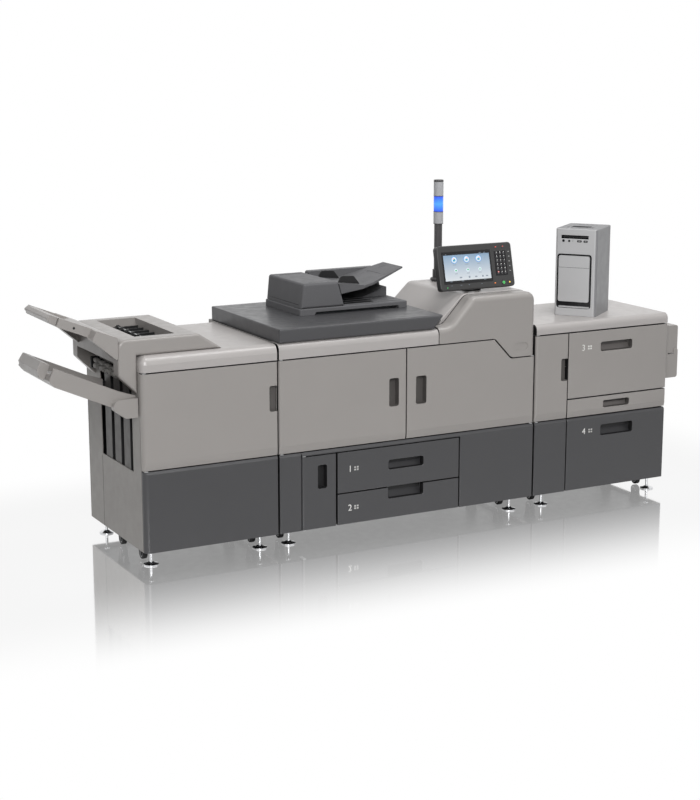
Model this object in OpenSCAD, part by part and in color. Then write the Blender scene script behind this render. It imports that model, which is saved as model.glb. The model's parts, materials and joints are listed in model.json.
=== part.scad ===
/* [Printing line] */
// Height of the lower edge of the covers
cover_foot_z = 68; // [66:1:80]
// Height of the line between the dark panels and the light doors
band_z = 420; // [412:1:430]
// Height of the line above the light doors
door_top_z = 835; // [825:1:845]
// Gap between two units
unit_gap = 8; // [4:1:14]
// Width of a seam between two covers
seam = 5; // [4.5:0.5:6]
// Thickness of doors and drawer fronts
door_t = 26; // [25:1:28]

/* [Finisher] */
// Width of the finisher
finisher_w = 617; // [590:1:660]
// Depth of the finisher
finisher_d = 660; // [620:1:700]
// Height of the finisher's top
finisher_top_z = 905; // [895:1:915]
// Radius of its long front edge at the top
finisher_edge_r = 36; // [24:1:42]
// Radius of its left front corner
finisher_corner_r = 25; // [16:1:25]
// Height of the exit hood's ridge
hood_top_z = 975; // [965:1:985]
// Reach of the hood past the finisher's left face
hood_reach = 82; // [70:1:90]
// Slope of the shift tray
shift_slope = 24; // [18:1:26]
// Length of the shift tray along its slope
shift_l = 408; // [380:1:460]
// Slope of the proof tray
proof_slope = 22; // [18:1:24]
// Length of the proof tray along its slope
proof_l = 240; // [230:1:280]

/* [Main unit] */
// Width of the main unit
main_w = 1312; // [1290:1:1330]
// Depth of the main unit
main_d = 740; // [720:1:780]
// Height of the light strip above the doors
strip_top_z = 905; // [895:1:915]
// Height of the dark scanner table
table_h = 63; // [55:1:70]
// Width of the left door
left_door_w = 627; // [610:1:640]
// Height of the console's top
console_top_z = 1038; // [1025:1:1050]

/* [Document feeder] */
// Width of its base
adf_w = 550; // [530:1:570]
// Depth of its base
adf_d = 360; // [350:1:370]
// Height of its feed cover above the scanner table
adf_h = 142; // [135:1:150]
// Slope of the original tray
original_slope = 13; // [8:1:16]

/* [Operation panel] */
// Width of the panel
panel_w = 400; // [380:1:420]
// Height of the panel along its face
panel_h = 205; // [190:1:215]
// Thickness of the panel
panel_t = 35; // [30:1:40]
// Lean of the panel
panel_lean = 14; // [8:1:20]
// Height of the status light's top
light_top_z = 1520; // [1480:1:1560]

/* [Large feeder] */
// Width of the feeder
feeder_w = 759; // [740:1:780]
// Depth of the feeder
feeder_d = 520; // [500:1:560]
// Height of the feeder's top
feeder_top_z = 880; // [870:1:890]
// Width of its narrow door
feeder_door_w = 180; // [170:1:190]
// Reach of the side feed box
side_feed_w = 117; // [105:1:130]

/* [Print server] */
// Width of the server
server_w = 204; // [190:1:225]
// Depth of the server
server_d = 238; // [220:1:250]
// Height of the server
server_h = 414; // [400:1:430]
// Turn of the server on the feeder's top
server_turn = -52; // [-56:1:-45]

/* [Hidden] */

light_grey = "#9f9b97";
pale_grey = "#bdb9b5";
dark_grey = "#515153";
slate = "#646466";
black = "#2b2b2c";
silver = "#b0b1b3";

$fn = 48;
arc_steps = 6;
soft_steps = 4;
least_r = 0.5;
cut = 2;
hair = 0.2;
seat_gap = 0.3;
run_gap = 0.05;

// Places along the line, measured from the seam between finisher and main unit
half_seam = seam / 2;
fin_x1 = -unit_gap / 2;
fin_x0 = fin_x1 - finisher_w;
main_x0 = unit_gap / 2;
main_x1 = main_x0 + main_w;
feed_x0 = main_x1 + unit_gap;
feed_x1 = feed_x0 + feeder_w;
dark_top = band_z - half_seam;
door_foot = band_z + half_seam;
door_head = door_top_z - half_seam;
cover_foot = door_top_z + half_seam;

// Frames behind the fronts
frame_y = 36;
plate_t = 3;
post_w = 26;
post_d = 24;
frame_floor_z = 82;
frame_back = 26;
sheet_t = 4;

// Moves the first two values of a table by x0
function at(x0, p) = [for (i = [0:len(p) - 1]) p[i] + (i < 2 ? x0 : 0)];

// Unit vector, and the direction to the left of it
function unit(v) = v / norm(v);
function left_of(v) = [-v[1], v[0]];

// Points on an arc
function arc(c, r, a0, a1, n = arc_steps) =
  [for (i = [0:n]) c + r * [cos(a0 + (a1 - a0) * i / n), sin(a0 + (a1 - a0) * i / n)]];

// Points of one rounded corner of an outline that is drawn in by inset
function corner_arc(p, c, q, r, inset, n) =
  let (e1 = unit(c - p), e2 = unit(q - c), n1 = left_of(e1), n2 = left_of(e2),
       turn = atan2(e1[0] * e2[1] - e1[1] * e2[0], e1 * e2), side = turn >= 0 ? 1 : -1,
       rr = max(r - side * inset, least_r), cc = c + (n1 + n2) * inset / (1 + n1 * n2),
       t = rr * tan(abs(turn) / 2), centre = cc - e1 * t + side * n1 * rr,
       a0 = atan2(-side * n1[1], -side * n1[0]))
  [for (i = [0:n]) centre + rr * [cos(a0 + turn * i / n), sin(a0 + turn * i / n)]];

// Outline with rounded corners, given as [x, y, radius] in anticlockwise order
function rounded_outline(corners, inset = 0, n = arc_steps) =
  let (m = len(corners), xy = [for (k = corners) [k[0], k[1]]])
  [for (i = [0:m - 1])
    each corner_arc(xy[(i + m - 1) % m], xy[i], xy[(i + 1) % m], corners[i][2], inset, n)];

// Height and inset of the rings of a prism with rounded edges
function soft_rings(h, top_r, foot_r) = concat(
  foot_r > 0
    ? [for (i = [0:soft_steps]) foot_r * [1 - cos(90 * i / soft_steps), 1 - sin(90 * i / soft_steps)]]
    : [[0, 0]],
  top_r > 0
    ? [for (i = [0:soft_steps])
        [h - top_r + top_r * sin(90 * i / soft_steps), top_r * (1 - cos(90 * i / soft_steps))]]
    : [[h, 0]]);

// Prism whose top and foot edges are rounded. Its hub is a point from which the whole outline can be seen
module soft_prism(corners, h, top_r, foot_r = 0, n = soft_steps, hub = undef) {
  mid = is_undef(hub) ? (corners[0] + corners[2]) / 2 : hub;
  rings = soft_rings(h, top_r, foot_r);
  count = len(rounded_outline(corners, 0, n));
  points = concat([for (ring = rings) each [for (p = rounded_outline(corners, ring[1], n)) [p[0], p[1], ring[0]]]],
    [[mid[0], mid[1], 0], [mid[0], mid[1], h]]);
  last = (len(rings) - 1) * count;
  sides = [for (k = [0:len(rings) - 2]) each [for (i = [0:count - 1])
    let (lo = k * count, up = lo + count, j = (i + 1) % count)
    each [[lo + i, up + i, up + j], [lo + i, up + j, lo + j]]]];
  ends = [for (i = [0:count - 1]) let (j = (i + 1) % count)
    each [[i, j, last + count], [last + j, last + i, last + count + 1]]];
  polyhedron(points, concat(ends, sides), convexity = 6);
}

module block(lo, hi) {
  translate(lo) cube(hi - lo);
}

// Extrusions of a flat outline along the three directions of the machine
module along_x(x0, x1) {
  translate([x0, 0, 0]) rotate([90, 0, 90]) linear_extrude(x1 - x0) children();
}

module along_y(y0, y1) {
  translate([0, y1, 0]) rotate([90, 0, 0]) linear_extrude(y1 - y0) children();
}

module along_z(z0, z1) {
  translate([0, 0, z0]) linear_extrude(z1 - z0) children();
}

// A rounded prism that faces the front: its rounded edge looks along -Y
module soft_front(corners, y0, y1, front_r, back_r = 0, hub = undef) {
  translate([0, y1, 0]) rotate([90, 0, 0]) soft_prism(corners, y1 - y0, front_r, back_r, hub = hub);
}

function box_corners(x0, x1, y0, y1, r) = [[x0, y0, r], [x1, y0, r], [x1, y1, r], [x0, y1, r]];

// A point on a slope that rises to the left: u along it, w square to it
function on_slope(o, a, u, w) = [o[0] - u * cos(a) + w * sin(a), o[1] + u * sin(a) + w * cos(a)];

// Front panels
hinge_in = 12;
free_r = 5;
slope_in = 7;
slope_h = 36;
chamfer_in = 8;
chamfer_h = 11;

module front_slab(x0, x1, z0, z1, r0 = free_r, r1 = free_r) {
  along_z(z0, z1) polygon(rounded_outline(
    [[x0, 0, min(r0, door_t - 2 * least_r)], [x1, 0, r1], [x1, door_t, least_r], [x0, door_t, least_r]]));
}

// Cuts away the front of a light panel towards its lower edge
module foot_slope(x0, x1, z) {
  along_x(x0 - cut, x1 + cut) polygon([[-cut, z - cut], [slope_in, z - cut], [slope_in, z],
    [0, z + slope_h], [-cut, z + slope_h]]);
}

// Cuts a chamfer along the upper edge of a dark panel
module head_chamfer(x0, x1, z) {
  along_x(x0 - cut, x1 + cut) polygon([[-cut, z + cut], [-cut, z - chamfer_h], [0, z - chamfer_h],
    [chamfer_in, z], [chamfer_in, z + cut]]);
}

// Handle pockets are given by their left edge, right edge, foot and head
pocket_r = 9;
pocket_d = 34;
pocket_wall = 3;

module pocket_cut(p, depth = pocket_d) {
  along_y(-cut, depth) polygon(rounded_outline(box_corners(p[0], p[1], p[2], p[3], pocket_r)));
}

module pocket_case(p, depth = pocket_d) {
  block([p[0] - pocket_wall, door_t - cut, p[2] - pocket_wall],
        [p[1] + pocket_wall, depth + pocket_wall, p[3] + pocket_wall]);
}

// Hinge pins enter blind bores in the ends of the doors
pin_r = 4;
pin_l = 22;
bore_l = 24;
bracket_t = 3;
bracket_w = 15;
bracket_front = 4;

module hinge_bore(x, z0, z1) {
  translate([x, hinge_in, z0 - cut]) cylinder(r = pin_r + run_gap, h = bore_l + cut);
  translate([x, hinge_in, z1 - bore_l]) cylinder(r = pin_r + run_gap, h = bore_l + cut);
}

// A bracket plate in the seam at height z, its pin pointing up or down
module hinge_bracket(x, z, way) {
  block([x - bracket_w / 2, bracket_front, z - bracket_t / 2],
        [x + bracket_w / 2, frame_y - hair, z + bracket_t / 2]);
  translate([x, hinge_in, way > 0 ? z : z - bracket_t / 2 - pin_l])
    cylinder(r = pin_r, h = pin_l + bracket_t / 2);
}

// Drawers
tray_wall = 3;
side_in = 22;
flange_w = 10;
flange_h = 8;
shelf_w = 17.5;
rail_h = 22;
rail_front = 42;
tray_front = 40;

// A drawer body: box [foot, height, length] behind the front from x0 to x1
module drawer_box(x0, x1, box) {
  bx0 = x0 + side_in;
  bx1 = x1 - side_in;
  difference() {
    block([bx0, door_t - cut, box[0]], [bx1, box[2], box[0] + box[1]]);
    block([bx0 + tray_wall, tray_front, box[0] + tray_wall],
          [bx1 - tray_wall, box[2] - tray_wall, box[0] + box[1] + cut]);
  }
  for (x = [[bx0 - flange_w, bx0 + tray_wall], [bx1 - tray_wall, bx1 + flange_w]])
    block([x[0], rail_front, box[0] + box[1] / 2], [x[1], box[2], box[0] + box[1] / 2 + flange_h]);
}

// The pair of rails that carries a drawer between the walls at w0 and w1
module runner_pair(x0, x1, w0, w1, box) {
  z = box[0] + box[1] / 2 - seat_gap;
  for (rail = [[w0 + hair, x0 + shelf_w, w0 + hair], [x1 - shelf_w, w1 - hair, w1 - hair - plate_t]]) {
    block([rail[0], rail_front, z - plate_t], [rail[1], box[2], z]);
    block([rail[2], rail_front, z - plate_t], [rail[2] + plate_t, box[2], z + rail_h]);
  }
}

// Finisher
open_y = [116, 488];
open_z = [398, 862];
lip_r = 6;
notch_d = 23;
notch_w = 38;
fin_notch = [fin_x1 - notch_w, fin_x1 + cut, 617, 729];

module finisher_frame() {
  color(black) unit_frame(fin_x0 + sheet_t + hair, fin_x1 - sheet_t, finisher_d, cover_foot - hair, false);
  color(black) unit_casters(0);
}

// Welded frame of one unit: floor, walls, back, posts, shelf bar and head as separate members
shelf_z = 404;
module unit_frame(x0, x1, d, top, left_wall = true, right_post = true) {
  back = d - frame_back;
  wall_z = frame_floor_z + plate_t * 2;
  head = top - plate_t - hair;
  inner = [x0 + plate_t + hair, x1 - plate_t - hair];
  block([x0, frame_y, frame_floor_z], [x1, back, wall_z]);
  if (left_wall) block([x0, frame_y, wall_z + hair], [x0 + plate_t, back, head]);
  block([x1 - plate_t, frame_y, wall_z + hair], [x1, back, head]);
  block([inner[0], back - plate_t, wall_z + hair], [inner[1], back, head]);
  for (x = right_post ? [inner[0], inner[1] - post_w] : [inner[0]])
    block([x, frame_y, wall_z + hair], [x + post_w, frame_y + post_d, head]);
  block([inner[0] + post_w + hair, frame_y, shelf_z],
        [inner[1] - (right_post ? post_w + hair : 0), frame_y + post_d, shelf_z + plate_t * 3]);
  block([x0, frame_y, head + hair], [x1, back, top]);
}

module finisher_left_panel() {
  color(light_grey) difference() {
    block([fin_x0, door_t + seam, cover_foot_z], [fin_x0 + sheet_t, finisher_d - sheet_t - seam, cover_foot - hair]);
    block([fin_x0 - cut, open_y[0], open_z[0]], [fin_x0 + sheet_t + cut, open_y[1], open_z[1] - slot_head]);
  }
  color(black) for (y = [open_y[0] - bearing_t - hair, open_y[1] + hair])
    exit_bearing(y);
}

// Exit rollers in the throat, carried by two bearing blocks on the left panel
slot_head = 40;
bearing_t = 12;
exit_out = 26;
exit_x = fin_x0 - exit_out;
drive_z = 796;
drive_r = 13;
idler_r = 10.5;
nip_gap = 0.5;
journal_r = 4;
exit_roll_l = 34;
exit_rolls = 5;
shaft_r = 5;
idler_z = drive_z + drive_r + idler_r + nip_gap;

module exit_bearing(y) {
  difference() {
    along_y(y, y + bearing_t) polygon(rounded_outline([
      [exit_x - drive_r, drive_z - drive_r, lip_r], [fin_x0 - hair, drive_z - drive_r, least_r],
      [fin_x0 - hair, idler_z + idler_r, least_r], [exit_x - drive_r, idler_z + idler_r, lip_r]]));
    for (z = [drive_z, idler_z])
      translate([exit_x, y + bearing_t + cut, z]) rotate([90, 0, 0])
        cylinder(r = journal_r + run_gap, h = bearing_t + 2 * cut);
  }
}

module exit_roller(z, r) {
  y0 = open_y[0] + seat_gap;
  y1 = open_y[1] - seat_gap;
  pitch = (y1 - y0) / exit_rolls;
  translate([exit_x, y1 + bearing_t, z]) rotate([90, 0, 0]) cylinder(r = journal_r, h = y1 - y0 + 2 * bearing_t);
  translate([exit_x, y1, z]) rotate([90, 0, 0]) cylinder(r = shaft_r, h = y1 - y0);
  for (i = [0:exit_rolls - 1])
    translate([exit_x, y0 + pitch * (i + 1 / 2) + exit_roll_l / 2, z]) rotate([90, 0, 0])
      cylinder(r = r, h = exit_roll_l);
}

module exit_drive_roller() {
  color("#d8d6d2") exit_roller(drive_z, drive_r);
}

module exit_idler_roller() {
  color("#d8d6d2") exit_roller(idler_z, idler_r);
}

module finisher_top_cover() {
  reach = finisher_edge_r + cut;
  color(pale_grey) difference() {
    intersection() {
      translate([0, 0, cover_foot]) soft_prism([
        [fin_x0, 0, finisher_corner_r], [fin_x1 + reach, 0, free_r],
        [fin_x1 + reach, finisher_d + reach, free_r], [fin_x0, finisher_d + reach, free_r]],
        finisher_top_z - cover_foot, finisher_edge_r);
      block([fin_x0 - cut, -cut, cover_foot - cut], [fin_x1, finisher_d - sheet_t - hair, finisher_top_z + cut]);
    }
    block([fin_x0 + finisher_edge_r, finisher_edge_r, cover_foot - cut],
          [fin_x1 - sheet_t, finisher_d - 2 * sheet_t, finisher_top_z - sheet_t]);
  }
}

// Exit hood, wrapped over the top left corner of the finisher
hood_y = [40, 600];
cheek_t = 58;
hood_foot_z = 743;
hood_side_z = 824;
hood_span = [276, 383];
hood_x = at(fin_x0, hood_span);
hood_round = 34;
hood_x0 = fin_x0 - hood_reach;
hood_roof_t = 6;
throat_z = 905;
window_span = [13, 191];
window_x = at(fin_x0, window_span);
window_rear = 50;
window_y = [hood_y[0] + cheek_t, hood_y[1] - window_rear];
hood_floor_t = 6;
hood_foot = finisher_top_z + seat_gap;

module exit_hood() {
  color(light_grey) difference() {
    soft_front([[fin_x0 - seat_gap, hood_foot_z, 4 * least_r], [fin_x0 - seat_gap, hood_foot, least_r],
      [hood_x[1], hood_foot, least_r], [hood_x[0], hood_top_z, hood_round],
      [hood_x0, hood_top_z, hood_round], [hood_x0, hood_side_z, hood_round / 2]],
      hood_y[0], hood_y[1], 2 * lip_r, lip_r, [(hood_x0 + fin_x0) / 2, hood_top_z - hood_round]);
    along_y(hood_y[0] + cheek_t, hood_y[1] - cheek_t) polygon([
      [hood_x0 - cut, hood_foot_z - cut], [fin_x0 + cut, hood_foot_z - cut],
      [fin_x0 + cut, hood_foot - hair], [fin_x0 - seat_gap - hood_roof_t, throat_z],
      [hood_x0 + hood_roof_t, throat_z], [hood_x0 - cut, throat_z - hood_reach / 2]]);
    block([window_x[0], window_y[0], hood_foot + hood_floor_t],
          [window_x[1], window_y[1], hood_top_z + cut]);
  }
}

// Slats that close the opening behind the shift tray, and the ribs in the hood's window
slat_gap = 34;
slat_end_gap = 40;
slats = 3;
slat_t = 13;
slat_w = (open_y[1] - open_y[0] - 2 * slat_end_gap - (slats - 1) * slat_gap) / slats;
rail_from = 40;
rail_x = fin_x0 + rail_from;
rail_t = 12;
rail_in = 24;
rib_w = 5;
ribs = 7;
rib_h = 34;

fin_head = cover_foot - plate_t - 3 * hair;
module guide_slats() {
  foot = open_z[0] - lip_r;
  color(light_grey) for (i = [0:slats - 1])
    let (y = open_y[0] + slat_end_gap + i * (slat_w + slat_gap), x = fin_x0 + sheet_t + hair)
      along_z(foot + hair, fin_head) polygon(rounded_outline([
        [x, y, 4 * least_r], [x + slat_t, y, least_r], [x + slat_t, y + slat_w, least_r],
        [x, y + slat_w, 4 * least_r]]));
  color(black) block([fin_x0 + sheet_t + hair, open_y[0] - rail_in, foot - rib_h + lip_r],
    [rail_x + rail_t, open_y[1] + rail_in, foot]);
  color(silver) for (y = [open_y[0] + slat_end_gap / 2, open_y[1] - slat_end_gap / 2])
    block([rail_x, y - rail_t / 2, foot + hair], [rail_x + rail_t, y + rail_t / 2, fin_head]);
  color(black) for (i = [0:ribs - 1])
    let (y = window_y[0] + (window_y[1] - window_y[0]) * (i + 1 / 2) / ribs)
      block([window_x[0] + hair, y - rib_w / 2, hood_foot + hood_floor_t + hair],
            [window_x[1] - hair, y + rib_w / 2, hood_foot + hood_floor_t + rib_h]);
}

fin_hinge_in = 14;
fin_hinge_x = fin_x0 + fin_hinge_in;
module finisher_door() {
  color(light_grey) difference() {
    front_slab(fin_x0, fin_x1, door_foot, door_head, finisher_corner_r, free_r);
    foot_slope(fin_x0, fin_x1, door_foot);
    hinge_bore(fin_hinge_x, door_foot, door_head);
    pocket_cut(fin_notch, notch_d);
  }
}

// Shift tray: local u runs up its slope, w square to it
shift_o = [fin_x0 - seam, 650];
shift_y = [60, 460];
shift_h = 72;
shift_wall = 14;
shift_floor = 36;
shift_chamfer = 30;
shift_root_h = 87;
root_share = 0.26;
end_bracket_l = 110;
arm_z = [674, 724];
arm_w = 14;
cross_t = 8;
shoe_gap = 0.5;
shoe_t = 5;

function shift_pt(u, w) = on_slope(shift_o, shift_slope, u, w);

// Outline of the shift tray seen from the front, between two heights above its underside
function shift_outline(w0, w1, u_end) = [
  [shift_o[0], shift_o[1] + w0 / cos(shift_slope)], [shift_o[0], shift_o[1] + w1 / cos(shift_slope)],
  shift_pt(u_end, w1), shift_pt(u_end, w0)];

module shift_tray() {
  cross_x = rail_x - seat_gap - cross_t;
  color(light_grey) difference() {
    along_y(shift_y[0], shift_y[1]) polygon(rounded_outline([
      [shift_o[0], shift_o[1], 2 * least_r],
      [shift_o[0], shift_o[1] + shift_root_h, 2 * least_r],
      concat(shift_pt(shift_l * root_share, shift_h), [shift_l]),
      concat(shift_pt(shift_l, shift_h), [lip_r]),
      concat(shift_pt(shift_l, shift_chamfer / 2), [lip_r]),
      concat(shift_pt(shift_l - shift_chamfer, 0), [lip_r])
    ]));
    along_y(shift_y[0] + shift_wall, shift_y[1] - shift_wall)
      polygon(shift_outline(shift_floor, 2 * shift_root_h, shift_l + shift_h));
  }
  color(light_grey) along_y(shift_y[0] / 2, shift_y[0] + cut) polygon(rounded_outline([
    [shift_o[0], shift_o[1] - least_r, lip_r],
    [shift_o[0], shift_o[1] + shift_root_h - lip_r, least_r],
    [shift_o[0] - end_bracket_l, shift_o[1] + shift_h + lip_r, shift_wall * 2],
    [shift_o[0] - end_bracket_l + lip_r, shift_o[1] + shift_floor, lip_r],
    [shift_o[0] - end_bracket_l / 2, shift_o[1] - least_r, shift_wall * 2]]));
  color(black) {
    for (y = [open_y[0] + slat_end_gap / 2, open_y[1] - slat_end_gap / 2])
      block([shift_o[0] - least_r, y - arm_w / 2, arm_z[0]], [cross_x + cut, y + arm_w / 2, arm_z[1]]);
    block([cross_x, open_y[0] + arm_w / 2, arm_z[0]], [cross_x + cross_t, open_y[1] - arm_w / 2, arm_z[1]]);
    for (y = [open_y[0] + slat_end_gap / 2, open_y[1] - slat_end_gap / 2], side = [-1, 1])
      let (yy = y + side * (rail_t / 2 + shoe_gap + shoe_t / 2))
        block([cross_x + cross_t - cut, yy - shoe_t / 2, arm_z[0]],
              [rail_x + rail_t, yy + shoe_t / 2, arm_z[1]]);
  }
}

// Extension with its raised lip, sliding on the floor of the shift tray
ext_in = [40, 90];
ext_plate_t = 6;
ext_plate_l = 230;
lip_reach = 45;
lip_foot_w = 12;
lip_head_w = 78;
ext_u = shift_l + seat_gap + least_r;

function lip_outline() = rounded_outline([
  concat(shift_pt(ext_u, lip_foot_w), [4 * least_r]), concat(shift_pt(ext_u, lip_head_w), [lip_r]),
  concat(shift_pt(ext_u + lip_reach - lip_r, lip_head_w), [lip_r]),
  concat(shift_pt(ext_u + lip_reach, lip_head_w / 2), [lip_r]),
  concat(shift_pt(ext_u + lip_reach / 2, lip_foot_w), [lip_r])]);

module shift_tray_extension() {
  y0 = shift_y[0] + shift_wall + ext_in[0];
  y1 = shift_y[1] - shift_wall - ext_in[1];
  w = [shift_floor + seat_gap, shift_floor + seat_gap + ext_plate_t];
  color(light_grey) along_y(y0, y1) {
    polygon([shift_pt(shift_l - ext_plate_l, w[0]), shift_pt(ext_u + cut, w[0]),
      shift_pt(ext_u + cut, w[1]), shift_pt(shift_l - ext_plate_l, w[1])]);
    polygon(lip_outline());
  }
}

// Proof tray on the hood
proof_o = [hood_x0 - seat_gap, 987];
proof_y = [100, 500];
proof_h = 38;
proof_wall = 12;
proof_recess = 12;
proof_slot = [55, 14, 24];
proof_tip = 48;
proof_lip_in = [14, 100];
root_l = 95;
root_foot_z = 890;
root_over = 60;
function proof_pt(u, w) = on_slope(proof_o, proof_slope, u, w);

module proof_tray() {
  color(light_grey) difference() {
    union() {
      along_y(proof_y[0], proof_y[1]) polygon([
        [proof_o[0], proof_o[1] - proof_h / cos(proof_slope)], proof_o, proof_pt(proof_l, 0),
        proof_pt(proof_l, -proof_h + 2 * cut), proof_pt(proof_l - lip_r, -proof_h)]);
      for (y = [proof_y[0] - root_over, proof_y[1]])
        along_y(y, y + root_over) polygon(rounded_outline([
          [proof_o[0], root_foot_z, lip_r], [proof_o[0], proof_o[1], least_r],
          concat(proof_pt(root_l, 0), [lip_r]), concat(proof_pt(root_l + lip_r, -proof_h - lip_r), [lip_r])]));
    }
    along_y(proof_y[0] + proof_wall, proof_y[1] - proof_wall) polygon([
      proof_pt(root_l / 2, cut), proof_pt(root_l, -proof_recess),
      proof_pt(proof_l - proof_tip / 2, -proof_recess), proof_pt(proof_l - proof_tip / 2, cut)]);
    along_y(proof_y[0] + 2 * proof_wall, proof_y[1] - 2 * proof_wall) polygon([
      proof_pt(proof_slot[0], -proof_slot[1]), proof_pt(proof_l + cut, -proof_slot[1]),
      proof_pt(proof_l + cut, -proof_slot[2]), proof_pt(proof_slot[0], -proof_slot[2])]);
  }
}

module proof_tray_extension() {
  u0 = proof_l + seat_gap + least_r;
  color(light_grey) {
    along_y(proof_y[0] + 2 * proof_wall + least_r, proof_y[1] - 2 * proof_wall - least_r) polygon([
      proof_pt(proof_slot[0] + seam, -proof_slot[1] - least_r), proof_pt(u0 + cut, -proof_slot[1] - least_r),
      proof_pt(u0 + cut, -proof_slot[2] + least_r), proof_pt(proof_slot[0] + seam, -proof_slot[2] + least_r)]);
    along_y(proof_y[0] + proof_lip_in[0], proof_y[1] - proof_lip_in[1]) polygon(rounded_outline([
      concat(proof_pt(u0, -proof_h + 2 * cut), [least_r]), concat(proof_pt(u0, 0), [least_r]),
      concat(proof_pt(u0 + proof_tip - proof_wall, 0), [lip_r]),
      concat(proof_pt(u0 + proof_tip, -proof_h / 2), [lip_r]),
      concat(proof_pt(u0 + proof_tip / 2, -proof_h + 2 * cut), [lip_r])]));
  }
}

// Main unit
strip_d = 84;
strip_r = 28;
main_split_x = main_x0 + left_door_w + half_seam;
waste_span = [107, 277];
waste_x = at(main_x0, waste_span);
waste_head = 397;
tray_span = [282.5, 907.5];
tray_x = at(main_x0, tray_span);
tray_split_z = 210.5;
band_foot = waste_head + seam;
cutout_span = [1093, 1183];
cutout_x = at(main_x0, cutout_span);
cutout_z = 740;
cutout_r = 30;
console_from = 796;
console_x0 = main_x0 + console_from;

dock_y = [330, 400];
dock_z = [160, 560];

module main_frame() {
  color(black) unit_frame(main_x0 + sheet_t + hair, main_x1 - sheet_t - hair, main_d, cover_foot - hair);
  color(black) for (x = [waste_x[1] + seam - plate_t - cut, tray_x[1] + half_seam])
    block([x, frame_y + post_d + hair, frame_floor_z + 2 * plate_t + hair],
          [x + plate_t, main_d - frame_back - plate_t - hair, shelf_z - hair]);
  color(black) block([main_x0 + sheet_t + plate_t + 3 * hair, frame_y + post_d + hair, shelf_z],
        [main_x1 - sheet_t - plate_t - 3 * hair, main_d - frame_back - plate_t - hair, shelf_z + plate_t]);
  color(pale_grey) block([main_x0 + sheet_t + hair, strip_d + hair, strip_top_z - sheet_t],
        [main_x1 - sheet_t - hair, main_d - sheet_t - hair, strip_top_z - hair]);
  color(black) for (x = [main_x0 + sheet_t + hair, console_x0 - post_w - seam, main_x1 - sheet_t - hair - post_w])
    block([x, strip_d + hair, cover_foot], [x + post_w, main_d - 2 * post_w, strip_top_z - sheet_t - hair]);
  color(black) for (z = dock_z) {
    block([fin_x1 - sheet_t + hair, dock_y[0], z], [main_x0 - hair, dock_y[1], z + post_w]);
    block([main_x1 + hair, dock_y[0], z], [feed_x0, dock_y[1], z + post_w]);
  }
  color(black) unit_casters(1);
}

module top_front_strip() {
  color(pale_grey) along_x(main_x0, console_x0 - half_seam) polygon(concat(
    [[0, cover_foot], [strip_d, cover_foot], [strip_d, strip_top_z]],
    arc([strip_r, strip_top_z - strip_r], strip_r, 90, 180)));
}

// Console cover
console_d = 80;
console_r = 26;
console_foot_z = cutout_z + half_seam;
console_slope = [854, 973];
console_slope_x = at(main_x0, console_slope);
console_curve_r = 60;
console_round = 40;
pill_span = [1194, 1273, 772, 808];
pill = at(main_x0, pill_span);
pill_d = 3;

module console_cover() {
  low = console_foot_z - console_r - cut;
  color(light_grey) difference() {
    soft_front([
      [console_x0 - console_r - cut, low, least_r], [main_x1, low, least_r],
      [main_x1, console_top_z, console_round], [console_slope_x[1], console_top_z, console_round],
      [console_slope_x[0], strip_top_z + free_r, console_curve_r],
      [console_x0 - console_r - cut, strip_top_z + free_r, least_r]], 0, console_d, console_r, 0,
      [cutout_x[0], cover_foot]);
    along_y(-cut, console_d + cut) polygon(rounded_outline([
      [console_x0 - 2 * console_r - cut, low - cut, least_r], [main_x1 + cut, low - cut, least_r],
      [main_x1 + cut, console_foot_z, least_r],
      [cutout_x[1], console_foot_z, cutout_r], [cutout_x[0], cover_foot, cutout_r],
      [console_x0 - 2 * console_r - cut, cover_foot, least_r]]));
    block([console_x0 - 2 * console_r - cut, -cut, low - cut], [console_x0, console_d + cut, console_top_z]);
    block([console_x0, door_t, low - cut], [main_x1 + cut, console_d + cut, cover_foot]);
    along_y(-cut, pill_d) polygon(rounded_outline(
      box_corners(pill[0], pill[1], pill[2], pill[3], (pill[3] - pill[2]) / 2 - least_r)));
  }
}

// Raised housing behind the console cover
hump_d = 575;
hump_span = [838, 965];
hump_x = at(main_x0, hump_span);
hump_r = 14;
hump_z = 1040;
module console_hump() {
  color(light_grey) soft_front([
    [hump_x[0], strip_top_z, 4 * least_r], [main_x1, strip_top_z, least_r],
    [main_x1, hump_z, console_round], [hump_x[1], hump_z, console_round],
    [hump_x[0] + hump_r, strip_top_z + hump_r * 2, console_round / 2]],
    console_d + hair, hump_d, free_r, hump_r);
}

// Dark scanner table with the exposure glass let into it
table_from = 7;
table_end_gap = 64;
table_x = [main_x0 + table_from, hump_x[0] - table_end_gap];
table_over = 53;
table_y = [6, 722];
table_r = 12;
table_z = strip_top_z + table_h;
glass_in = [289, 46];
glass_x = [table_x[0] + glass_in[0], table_x[1] - glass_in[1]];
glass_y = [300, 597];
glass_t = 4;
lift_y = 648;
lift_z = 22;
lift_pin_r = 5;
knuckle_r = 11;
knuckle_w = 27;
ear_t = 6;
lift_span = [316, 716];
lift_x = at(main_x0, lift_span);

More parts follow.
